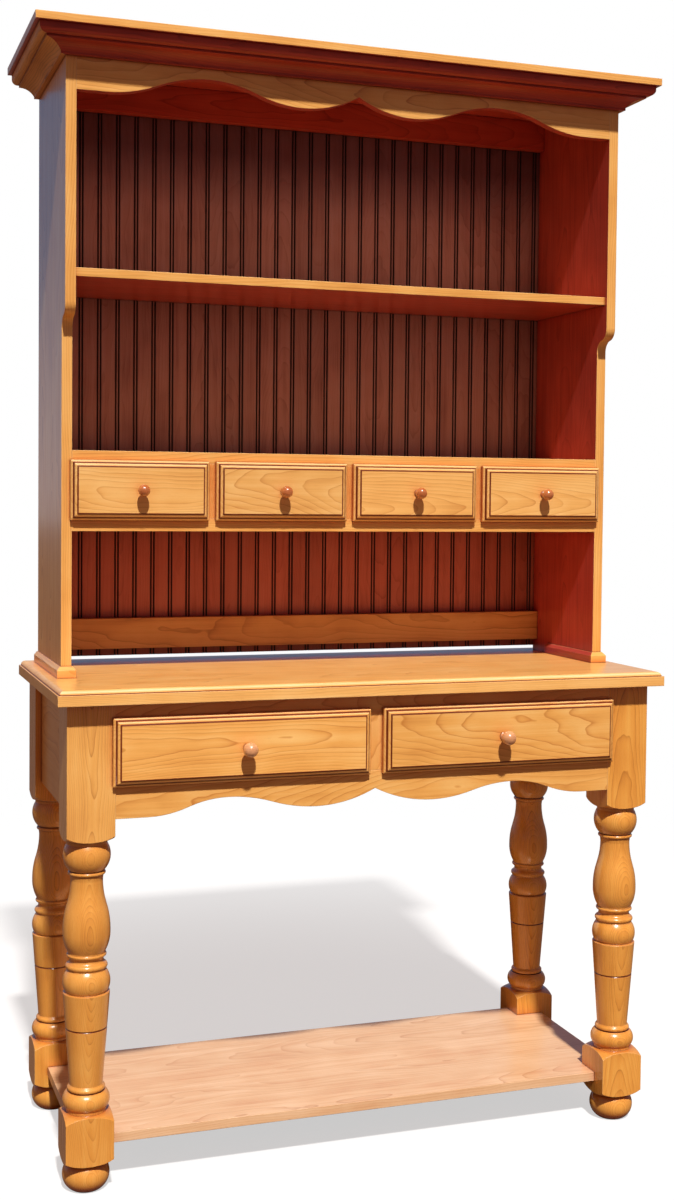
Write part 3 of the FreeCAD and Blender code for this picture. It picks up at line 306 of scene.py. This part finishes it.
def lip_quirks(width, height):
    """The two quirks that run round a drawer front's lip. Its rear has none."""
    def distance(tree, place):
        x, y, z = add(tree, "SeparateXYZ", place, output=None)
        from_ends = add(tree, "Math SUBTRACT", width / 2, add(tree, "Math ABSOLUTE", x))
        from_edges = add(tree, "Math SUBTRACT", height / 2, add(tree, "Math ABSOLUTE", z))
        inward = add(tree, "Math MINIMUM", from_ends, from_edges)
        quirks = [add(tree, "Math ABSOLUTE", add(tree, "Math SUBTRACT", inward, at))
                  for at in LIP_QUIRKS]
        behind = add(tree, "Math GREATER_THAN", y, 0.0)
        return add(tree, "Math ADD", add(tree, "Math MINIMUM", *quirks), behind)
    return distance


def top_quirk(low, high):
    """The step that runs round the table top's front and ends."""
    length, depth, thickness = high - low

    def distance(tree, place):
        x, y, z = add(tree, "SeparateXYZ", place, output=None)
        from_ends = add(tree, "Math SUBTRACT", length / 2, add(tree, "Math ABSOLUTE", x))
        from_front = add(tree, "Math SUBTRACT", y, -depth / 2)
        inward = add(tree, "Math MINIMUM", from_ends, from_front)
        aside = add(tree, "Math SUBTRACT", inward, TOP_STEP_ASIDE)
        above = add(tree, "Math SUBTRACT", z, TOP_STEP_HEIGHT - thickness / 2)
        return add(tree, "Math MAXIMUM", add(tree, "Math ABSOLUTE", aside),
                   add(tree, "Math ABSOLUTE", above))
    return distance


def bead_quirks(tree, place):
    """The quirks beside each bead of the back boards. Their rear has none."""
    x, y, z = add(tree, "SeparateXYZ", place, output=None)
    beads = add(tree, "Math DIVIDE", add(tree, "Math SUBTRACT", x, FIRST_BEAD), BEAD_PITCH)
    nearest = add(tree, "Math SUBTRACT", beads, add(tree, "Math ROUND", beads))
    from_quirk = add(tree, "Math MULTIPLY_ADD", add(tree, "Math ABSOLUTE", nearest),
                     BEAD_PITCH, -BEAD_TO_QUIRK)
    behind = add(tree, "Math GREATER_THAN", y, 0.0)
    return add(tree, "Math MULTIPLY_ADD", add(tree, "Math ABSOLUTE", from_quirk), BEAD_LINE, behind)


def scribed_line(height):
    """The line that the turner cut around a leg's taper, from the leg's middle."""
    def distance(tree, place):
        z = add(tree, "SeparateXYZ", place, output=2)
        return add(tree, "Math ABSOLUTE", add(tree, "Math SUBTRACT", z, height))
    return distance


print("beads every", round(1000 * BEAD_PITCH, 1), "mm, scribed line", SCRIBED_HEIGHT, "m up")

# %% [markdown]
# ## A board's material
# Colour first, then what use, age and light do to it: end grain drinks more finish and is
# darker, arrises are pale with wear and a painted highlight, hollows get painted shade, and
# quirks a dark line of old finish and painted shade. A bevel could be modelled on every arris.
# The Bevel node rounds them in the shading alone, so that the board's real shape and size stay
# as they were cut. The satin coat is the shader's clear coat.

# %% Turning and bending the grain
WHOLE = 10.0                      # a board width that no piece reaches: it is one board
SLOPE = 0.05                      # usual slope of the pith, metres per metre


def swapped(tree, place, along, across):
    """A place in the board's own order: along, across, through."""
    by_name = dict(zip("XYZ", add(tree, "SeparateXYZ", place, output=None)))
    through = (set("XYZ") - {along, across}).pop()
    return add(tree, "CombineXYZ", by_name[along], by_name[across], by_name[through])


def end_grain(tree, normal, along):
    """1 where a face looks along the grain."""
    axis = tuple(1.0 if along == name else 0.0 for name in "XYZ")
    return add(tree, "Math ABSOLUTE",
               add(tree, "VectorMath DOT_PRODUCT", normal, axis, output="Value"))


def lay_grain(tree, position, centred, normal, along, across, turn):
    """Place in the board, and how much end grain shows. turn = (letter, limit, along,
    across) gives another grain past a plane, for groups of boards that meet at a corner."""
    place, ends = swapped(tree, centred, along, across), end_grain(tree, normal, along)
    if turn:
        letter, limit, other_along, other_across = turn
        here = add(tree, "SeparateXYZ", position, output="XYZ".index(letter))
        past = add(tree, "Math GREATER_THAN", here, limit)
        other = swapped(tree, centred, other_along, other_across)
        other_ends = end_grain(tree, normal, other_along)
        place = add(tree, "Mix", {0: past, 4: place, 5: other}, output=1, data_type="VECTOR")
        ends = add(tree, "Mix", {0: past, 2: ends, 3: other_ends}, data_type="FLOAT")
    return place, ends


print("usual slope of the pith:", round(1000 * SLOPE), "mm in a metre")

# %% The board before wear
INNER_EDGE = 0.15                 # how softly one finish turns into the other
SAPWOOD_EDGE = 0.006              # metres over which the wood turns pale
SAPWOOD_SHARE = 0.6


def unworn(tree, figure, normal, look, inner, sapwood):
    """The board's colour before wear, and how much of the height tint each face takes."""
    colour, tinted = wood_colour(tree, figure, look), 1.0
    if inner:
        # The other finish can be painted shade or a painted highlight on faces that look one way.
        direction, agreement, inner_finish = inner
        facing = add(tree, "VectorMath DOT_PRODUCT", normal, direction, output="Value")
        facing = add(tree, "MapRange", facing, agreement, agreement + INNER_EDGE, **SMOOTH)
        inside = wood_colour(tree, figure, finishes[inner_finish])
        colour = add(tree, "Mix", {0: facing, 6: colour, 7: inside}, **COLOURS)
        tinted = add(tree, "Math SUBTRACT", 1.0, facing)
    if sapwood:
        pale = add(tree, "MapRange", figure["Heart"], sapwood, sapwood + SAPWOOD_EDGE, **SMOOTH)
        pale = add(tree, "Math MULTIPLY", pale, SAPWOOD_SHARE)
        colour = add(tree, "Mix", {0: pale, 6: colour, 7: linear(look["sapwood"])}, **COLOURS)
    tone = add(tree, "Math MULTIPLY_ADD", figure["Board"], look["uneven"], 1.0 - look["uneven"] / 2)
    return add(tree, "HueSaturation", {"Value": tone, "Color": colour}), tinted


print("sapwood turns pale over", 1000 * SAPWOOD_EDGE, "mm")

# %% Wear and painted arris highlight. Each range says where an effect starts and is full
ARRIS = 0.0018                    # metres, radius of a worn edge
END_RANGE, END_SHARE = (0.55, 0.98), 0.28
WEAR_AND_HIGHLIGHT_RANGE, WEAR_AND_HIGHLIGHT_SHARE = (0.985, 0.80), 0.5


def worn(tree, colour, ends, softened, look):
    """End grain drinks more finish and is darker. Arrises are pale: wear and painted highlight."""
    darker = add(tree, "Math MULTIPLY", ends, END_SHARE)
    colour = add(tree, "Mix", {0: darker, 6: colour, 7: linear(look["dark"])}, **COLOURS)
    flat = add(tree, "NewGeometry", output="Normal")
    rubbed = add(tree, "VectorMath DOT_PRODUCT", softened, flat, output="Value")
    rubbed = add(tree, "MapRange", rubbed, *WEAR_AND_HIGHLIGHT_RANGE, **SMOOTH)
    rubbed = add(tree, "Math MULTIPLY", rubbed, WEAR_AND_HIGHLIGHT_SHARE)
    return add(tree, "Mix", {0: rubbed, 6: colour, 7: linear(look["rubbed"])}, **COLOURS)


print("arrises rounded in the shading by", 1000 * ARRIS, "mm")

# %% Painted shade in hollows, and old finish with painted shade in corners and quirks
HOLLOW_RANGE = (0.9, 0.25)        # share of the surroundings that is open
CORNER = 0.004                    # metres, size of a corner that gathers finish
CORNER_RANGE, CORNER_SHARE = (0.85, 0.5), 0.92
QUIRK_RANGE, QUIRK_SHARE = (0.0020, 0.0009), 0.95    # metres from a quirk


def painted_shade_in_hollows(tree, look):
    """How much painted shade lies here, in hollows."""
    wide = add(tree, "AmbientOcclusion", {"Distance": look["reach"]}, output="AO", samples=4)
    hollow = add(tree, "MapRange", wide, *HOLLOW_RANGE, **SMOOTH)
    return add(tree, "Math MULTIPLY", hollow, look["depth"])


def finish_and_shade_in_corners(tree, centred, quirks):
    """How much old finish and painted shade lie here."""
    close = add(tree, "AmbientOcclusion", {"Distance": CORNER}, output="AO", samples=4)
    finish_and_shade = add(tree, "MapRange", close, *CORNER_RANGE, **SMOOTH)
    finish_and_shade = add(tree, "Math MULTIPLY", finish_and_shade, CORNER_SHARE)
    if quirks:
        near = add(tree, "MapRange", quirks(tree, centred), *QUIRK_RANGE, **SMOOTH)
        near = add(tree, "Math MULTIPLY", near, QUIRK_SHARE)
        finish_and_shade = add(tree, "Math MAXIMUM", finish_and_shade, near)
    return finish_and_shade


print("finish gathers in corners of", 1000 * CORNER, "mm")

# %% The whole board, with its sheen
SATIN_ROUGHNESS = 0.16            # of the varnish, which is even
VARNISH_IOR = 1.5
FIBRE_ROUGHNESS, END_ROUGHNESS = 0.16, 0.12    # what they add to the roughness of the wood
RING_RELIEF = 0.25                # height of the rings beside that of the fibres
RELIEF, RELIEF_STRENGTH = 0.0004, 0.12         # metres, and a share


def wood(name, middle, along, across, look, seed, width=WHOLE, slope=SLOPE, sapwood=None,
         turn=None, inner=None, quirks=None, tints=None):
    """Material of a board. sapwood is its distance from the pith. inner = (direction,
    agreement, finish) gives the faces that look that way another finish, some of which carry
    painted shade or a painted highlight. quirks gives the distance from sharp corners, and
    tints pairs of a height and a stain or painted shade."""
    material = bpy.data.materials.new(name)
    material.use_nodes = True
    tree = material.node_tree
    tree.nodes.clear()
    position = add(tree, "TexCoord", output="Object")
    normal = add(tree, "TexCoord", output="Normal")
    centred = add(tree, "VectorMath SUBTRACT", position, middle)
    place, ends = lay_grain(tree, position, centred, normal, along, across, turn)
    figure = add(tree, "Group", {"Place": place, "Board width": width, "Slope": slope,
                                 "Ring spacing": look["spacing"], "Seed": seed},
                 output=None, node_tree=lumber)

    colour, tinted = unworn(tree, figure, normal, look, inner, sapwood)
    ends = add(tree, "MapRange", ends, *END_RANGE, **SMOOTH)
    softened = add(tree, "Bevel", {"Radius": ARRIS}, samples=4)
    colour = worn(tree, colour, ends, softened, look)
    # Multiplied on: painted shade in hollows, the height tint, and finish and shade in corners.
    darkenings = [(painted_shade_in_hollows(tree, look), linear(look["hollow"]))]
    if tints:
        darkenings.append((tinted, tint_by_height(tree, position, tints)))
    darkenings.append((finish_and_shade_in_corners(tree, centred, quirks), linear(look["quirk"])))
    for share, darkening in darkenings:
        colour = add(tree, "Mix", {0: share, 6: colour, 7: darkening}, blend_type="MULTIPLY", **COLOURS)

    fibre = add(tree, "Math SUBTRACT", figure["Fibre"], 0.5)
    rough = add(tree, "Math MULTIPLY_ADD", fibre, FIBRE_ROUGHNESS, look["roughness"])
    rough = add(tree, "Math MULTIPLY_ADD", ends, END_ROUGHNESS, rough)
    height = add(tree, "Math MULTIPLY_ADD", figure["Rings"], RING_RELIEF, figure["Fibre"])
    bump = add(tree, "Bump", {"Strength": RELIEF_STRENGTH, "Distance": RELIEF,
                              "Height": height, "Normal": softened})
    shader = add(tree, "BsdfPrincipled", {"Base Color": colour, "Roughness": rough,
                                          "Normal": bump, "IOR": VARNISH_IOR,
                                          "Specular IOR Level": look["shine"],
                                          "Coat Weight": look["coat"],
                                          "Coat Roughness": SATIN_ROUGHNESS})
    add(tree, "OutputMaterial", {"Surface": shader}, output=None)
    return material


print("relief of the fibres", 1000 * RELIEF, "mm")

# %% [markdown]
# ## Which way each board runs
# A joiner lays the grain along a piece's length: upright in legs and sides, level in rails,
# shelves and drawer fronts, front to back in drawer sides. Wide panels are glued up from
# boards 76 to 131 mm wide. Each call below names a piece, its grain and its finish.

# %% Dress one piece, or one drawer front
UP_FRONT = (0.0, -0.7071, 0.7071)
UNDER_REAR = (0.0, 0.7071, -0.7071)
DOWN = (0.0, 0.0, -1.0)
REAR = (0.0, 1.0, 0.0)
# cosine of the angle to a direction below which a face keeps its first finish
TOWARDS, UNDER_TOWARDS, TOP_EDGE_TOWARDS, LIP_TOWARDS = 0.5, 0.45, 0.90, 0.93
FRONT_SLOPE, RAIL_SLOPE, VALANCE_SLOPE, PLANK_SLOPE = 0.17, 0.10, 0.12, 0.02
both = ("left", "right")


def dress(node, along, across, finish_name, width=WHOLE, **more):
    """Gives a piece the material of the board that it was cut from."""
    low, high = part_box(node)
    seed = float(sorted(nodes).index(node)) + 0.5
    kind = "cherry_" if "cherry" in finish_name else "maple_"
    made = wood(kind + node, (low + high) / 2, along, across, finishes[finish_name], seed,
                width, **more)
    nodes[node].data.materials.clear()
    nodes[node].data.materials.append(made)


def dress_front(drawer, finish_name):
    """Gives a drawer's front its board, with old finish and painted shade in its lip's quirks."""
    low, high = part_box(drawer + "_front")
    dress(drawer + "_front", "X", "Z", finish_name, slope=FRONT_SLOPE,
          # the lip's faces that look up and forward get a painted highlight
          inner=(UP_FRONT, LIP_TOWARDS, "rubbed cherry"),
          quirks=lip_quirks(high[0] - low[0], high[2] - low[2]))


print(len(nodes), "pieces to dress")

# %% [markdown]
# ## The table
# The top has bleached golden, with a painted highlight on its mouldings where the edge
# catches light. The turned legs are deeper in colour, with strong painted shade in their
# hollows. One leg blank was lighter: it is stained to match below its upper block, which
# stays pale. Another has sapwood, the paler outer wood of the log, far from its pith. The
# runners and kickers under the top are bare maple.

# %% Table top, rails, aprons, legs and the runners under the top
LEG_TINTS = ((0.640, "#f2e3c6"), (0.645, "#ffffff"))
SAPWOOD_FROM = 0.098              # metres from the pith

# The top's moulded faces that look up and forward get a painted highlight.
dress("table_top", "X", "Y", "golden cherry", width=0.131,
      inner=(UP_FRONT, TOP_EDGE_TOWARDS, "rubbed cherry"), quirks=top_quirk(*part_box("table_top")))
dress("lower_shelf", "X", "Y", "pale cherry", width=0.104)
for piece in ("front_top_rail", "front_apron", "rear_apron"):
    dress(piece, "X", "Z", "satin cherry", slope=RAIL_SLOPE)
dress("drawer_stile", "Z", "X", "satin cherry")

leg_middle = sum(corner[2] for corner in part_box("leg_front_left")) / 2
for side in both:
    dress("side_apron_" + side, "Y", "Z", "satin cherry")
    dress("side_runner_" + side, "Y", "Z", "planed maple")
    for row in ("front", "rear"):
        pied = (row, side) == ("front", "left")
        dress("leg_" + row + "_" + side, "Z", "X", "pied cherry" if pied else "deep cherry",
              sapwood=SAPWOOD_FROM if (row, side) == ("front", "right") else None,
              quirks=scribed_line(SCRIBED_HEIGHT - leg_middle),
              tints=LEG_TINTS if pied else None)
for piece in ("centre_runner", "kickers"):
    dress(piece, "Y", "Z", "planed maple")
dress("top_buttons", "X", "Y", "planed maple")
print("legs' middle", round(leg_middle, 3), "m up; scribed line",
      round(SCRIBED_HEIGHT - leg_middle, 3), "m from it")

# %% [markdown]
# ## The hutch
# Outside it is honey-coloured like the table. Inside, its faces and undersides are painted
# with a red-brown shade, and so are the crown's front and the back's top rail, in dark red.
# The beaded back boards have a pale ground under painted shade: darkest under the top board,
# with warmer painted light near the table. Their rear takes no shade by height and is even.

# %% Sides, shelves, crown, valance, rails and back boards
PLANK = 0.0764                    # metres, width of a back board
FRONT_STRIP = 0.008               # metres, thickness of a base moulding's front strip
# Painted light by height on the back boards: warmer near the table, darkest under the top.
PLANK_PAINTED_LIGHT = ((1.20, "#c4907a"), (1.30, "#bdb8b0"), (1.88, "#b8b0b8"), (2.00, "#786878"))

for side in both:
    towards_middle = (1.0 if side == "left" else -1.0, 0.0, 0.0)
    # Inner faces take the red-brown painted shade.
    inside = (towards_middle, TOWARDS, "red cherry in painted shade")
    base = "base_moulding_" + side
    dress("hutch_side_" + side, "Z", "Y", "satin cherry", width=0.114, inner=inside)
    dress(base, "X", "Z", "satin cherry", inner=inside,
          turn=("Y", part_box(base)[0][1] + FRONT_STRIP, "Y", "Z"))
    dress("crown_" + side, "Y", "Z", "dim cherry")
# Undersides take the red-brown painted shade.
for piece, width in (("hutch_top", 0.102), ("plate_shelf", 0.098), ("case_top", 0.1),
                     ("case_bottom", 0.1)):
    dress(piece, "X", "Y", "satin cherry", width, inner=(DOWN, TOWARDS, "red cherry in painted shade"))
dress("case_dividers", "Y", "Z", "satin cherry")
# Painted shade: the crown's front is dark red, as in the crown's shadow.
dress("crown_front", "X", "Z", "crown cherry in painted shade")
# The valance's underside and rear take the red-brown painted shade.
dress("valance", "X", "Z", "satin cherry", slope=VALANCE_SLOPE,
      inner=(UNDER_REAR, UNDER_TOWARDS, "red cherry in painted shade"))
# The back's top rail takes the same dark red painted shade.
dress("back_top_rail", "X", "Z", "crown cherry in painted shade")
dress("back_bottom_rail", "X", "Z", "shaded cherry")
# The back boards' front takes painted shade by height; their rear doesn't.
dress("beadboard_back", "Z", "X", "plank cherry in painted shade", PLANK, slope=PLANK_SLOPE, quirks=bead_quirks,
      inner=(REAR, TOWARDS, "rear cherry"), tints=PLANK_PAINTED_LIGHT)
print("back boards", round(1000 * PLANK, 1), "mm wide, two beads on each")

# %% [markdown]
# ## The drawers
# Each front is one thick cherry board with a moulded lip, and the box behind it is bare
# maple. Knobs are turned and polished by many hands: the large ones peach, the small ones
# ruddy.

# %% Two large and four small drawers
BACK_BOARD = 0.0101               # metres, just over the thickness of a small drawer's back

for side in both:
    drawer = "large_drawer_" + side
    dress_front(drawer, "satin cherry")
    dress(drawer + "_sides", "Y", "Z", "planed maple")
    dress(drawer + "_back", "X", "Z", "planed maple")
    dress(drawer + "_bottom", "X", "Y", "planed maple", width=0.12)
    dress(drawer + "_knob", "Y", "X", "peach cherry")
for number in range(1, 5):
    drawer = "small_drawer_" + str(number)
    box_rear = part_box(drawer + "_sides_and_back")[1][1]
    dress_front(drawer, "fair cherry")
    dress(drawer + "_sides_and_back", "Y", "Z", "planed maple",
          turn=("Y", box_rear - BACK_BOARD, "X", "Z"))
    dress(drawer + "_bottom", "X", "Y", "planed maple", width=0.12)
    dress(drawer + "_knob", "Y", "X", "ruddy cherry")

bare = sorted(name for name, piece in nodes.items()
              if not piece.data.materials[0].name.endswith(name))
print(len(nodes), "pieces dressed; left bare:", bare)

# %% [markdown]
# ## Studio floor
# A plain pale floor carries the cupboard and takes its shadow. It turns to plain white
# further out, so no horizon shows. To the light it is darker and warmer than to the eye, or
# it would throw too much light up on the undersides.

# %% Floor
FLOOR_HALF = 60.0                 # metres
WHITE = (1.0, 1.0, 1.0, 1.0)
WHITER_RANGE = (0.9, 3.2)         # metres from the middle over which the floor turns white
# Near the cupboard the eye sees the floor partly glowing white, which lightens its shadow.
GLOW_NEAR, GLOW_MORE = 0.58, 0.42

corners = [(x * FLOOR_HALF, y * FLOOR_HALF, 0) for x, y in ((-1, -1), (1, -1), (1, 1), (-1, 1))]
mesh = bpy.data.meshes.new("studio_floor")
mesh.from_pydata(corners, [], [(0, 1, 2, 3)])
floor = bpy.data.objects.new("studio_floor", mesh)
bpy.context.scene.collection.objects.link(floor)
floor_paint = bpy.data.materials.new("matt pale floor")
floor_paint.use_nodes = True
tree = floor_paint.node_tree
tree.nodes.clear()
seen = add(tree, "LightPath", output="Is Camera Ray")
paint = add(tree, "Mix", {0: seen, 6: linear("#65574f"), 7: linear("#f6f6f6")}, **COLOURS)
matt = add(tree, "BsdfDiffuse", {"Color": paint})
glow = add(tree, "Emission", {"Color": WHITE, "Strength": 1.0})
place = add(tree, "TexCoord", output="Object")
distance = add(tree, "VectorMath LENGTH", place, output="Value")
whiter = add(tree, "MapRange", distance, *WHITER_RANGE, **SMOOTH)
whiter = add(tree, "Math MULTIPLY_ADD", whiter, GLOW_MORE, GLOW_NEAR)
mixed = add(tree, "MixShader", add(tree, "Math MULTIPLY", seen, whiter), matt, glow)
add(tree, "OutputMaterial", {"Surface": mixed}, output=None)
mesh.materials.append(floor_paint)
print("floor", 2 * FLOOR_HALF, "m wide")

# %% [markdown]
# ## Surroundings and lamp
# The surroundings are white to the eye. As light they are a weak warm fill. In reflections
# they are a wall that is brighter behind the cupboard and bluer higher up, which gives the
# left side its cool sheen where the eye grazes it. The one lamp is a sun, high in front and a
# little to the left. It throws the shadows under the crown and the table top. An area lamp
# could do so too, but a sun lights top and foot alike. It is 2.5 degrees wide, so that the
# shadows' edges aren't hard.

# %% Surroundings: what the eye, the light and the reflections see
FILL = 0.24
WALL_RANGE, WALL_DIM, WALL_MORE = (0.2, 0.9), 0.30, 0.65
BLUE_RANGE = (-0.08, 0.2)         # from just under the horizon to a little above it

world = bpy.data.worlds.new("studio")
bpy.context.scene.world = world
world.use_nodes = True
tree = world.node_tree
tree.nodes.clear()
path = add(tree, "LightPath", output=None)
warm = add(tree, "Background", {"Color": linear("#ffcabd"), "Strength": FILL})
around = add(tree, "TexCoord", output="Generated")
rearward, upward = add(tree, "SeparateXYZ", around, output=None)[1:3]
wall = add(tree, "MapRange", rearward, *WALL_RANGE, **SMOOTH)
wall = add(tree, "Math MULTIPLY_ADD", wall, WALL_MORE, WALL_DIM)
higher = add(tree, "MapRange", upward, *BLUE_RANGE, **SMOOTH)
sky = add(tree, "Mix", {0: higher, 6: linear("#d4d2da"), 7: linear("#3f89b8")}, **COLOURS)
cool = add(tree, "Background", {"Color": sky, "Strength": wall})
white = add(tree, "Background", {"Color": WHITE, "Strength": 1.0})
reflected = add(tree, "MixShader", path["Is Glossy Ray"], warm, cool)
chosen = add(tree, "MixShader", path["Is Camera Ray"], reflected, white)
add(tree, "OutputWorld", {"Surface": chosen}, output=None)
print("surroundings:", len(tree.nodes), "nodes")

# %% Key lamp
KEY_DIRECTION = Vector((0.105, 1.0, -1.36))      # the way its light travels
KEY_STRENGTH = 4.35
KEY_WIDTH = 2.5                   # degrees

key = bpy.data.lights.new("soft_key", "SUN")
key.energy = KEY_STRENGTH
key.angle = math.radians(KEY_WIDTH)
key.color = linear("#fffcf8")[:3]
lamp = bpy.data.objects.new("soft_key", key)
bpy.context.scene.collection.objects.link(lamp)
lamp.rotation_mode = "QUATERNION"
lamp.rotation_quaternion = KEY_DIRECTION.to_track_quat("-Z", "Y")
bpy.context.scene.view_settings.view_transform = "Standard"
height_angle = math.degrees(math.atan2(-KEY_DIRECTION.z, KEY_DIRECTION.xy.length))
print("key lamp", round(height_angle), "degrees up")

# %% [markdown]
# ## Camera
# The viewpoint is at chest height, about three metres away and a metre to the left, so the
# right-hand inside of the hutch and the left side show. A camera could be aimed by eye. Here
# its heading, tilt and roll are numbers, so that they can be set again exactly. The lens is
# set by its focal length in pixels, and shifted a little.

# %% Camera from its heading, tilt and roll
FRAME_WIDTH, FRAME_HEIGHT = 674, 1200
FOCAL_PIXELS = 1533.0
PICTURE_MIDDLE = (331.9, 553.8)
SENSOR = 36.0                     # millimetres
VIEWPOINT = (-1.0279, -2.9471, 1.2740)           # metres
HEADING, TILT, ROLL = 18.93, -2.14, 0.537        # degrees

heading, tilt, roll = (math.radians(angle) for angle in (HEADING, TILT, ROLL))
ahead = Vector((math.sin(heading) * math.cos(tilt), math.cos(heading) * math.cos(tilt),
                math.sin(tilt)))
level = Vector((math.cos(heading), -math.sin(heading), 0.0))
over = level.cross(ahead)
right = level * math.cos(roll) + over * math.sin(roll)
up = over * math.cos(roll) - level * math.sin(roll)
optics = bpy.data.cameras.new("camera")
optics.sensor_fit = "VERTICAL"
optics.sensor_height = SENSOR
optics.lens = FOCAL_PIXELS * SENSOR / FRAME_HEIGHT
optics.shift_x = (FRAME_WIDTH / 2 - PICTURE_MIDDLE[0]) / FRAME_HEIGHT
optics.shift_y = (PICTURE_MIDDLE[1] - FRAME_HEIGHT / 2) / FRAME_HEIGHT
camera = bpy.data.objects.new("camera", optics)
bpy.context.scene.collection.objects.link(camera)
turned = Matrix((right, up, -ahead)).transposed().to_4x4()
camera.matrix_world = Matrix.Translation(VIEWPOINT) @ turned
bpy.context.scene.camera = camera
print("lens", round(optics.lens, 1), "mm; shift", round(optics.shift_x, 4),
      round(optics.shift_y, 4))
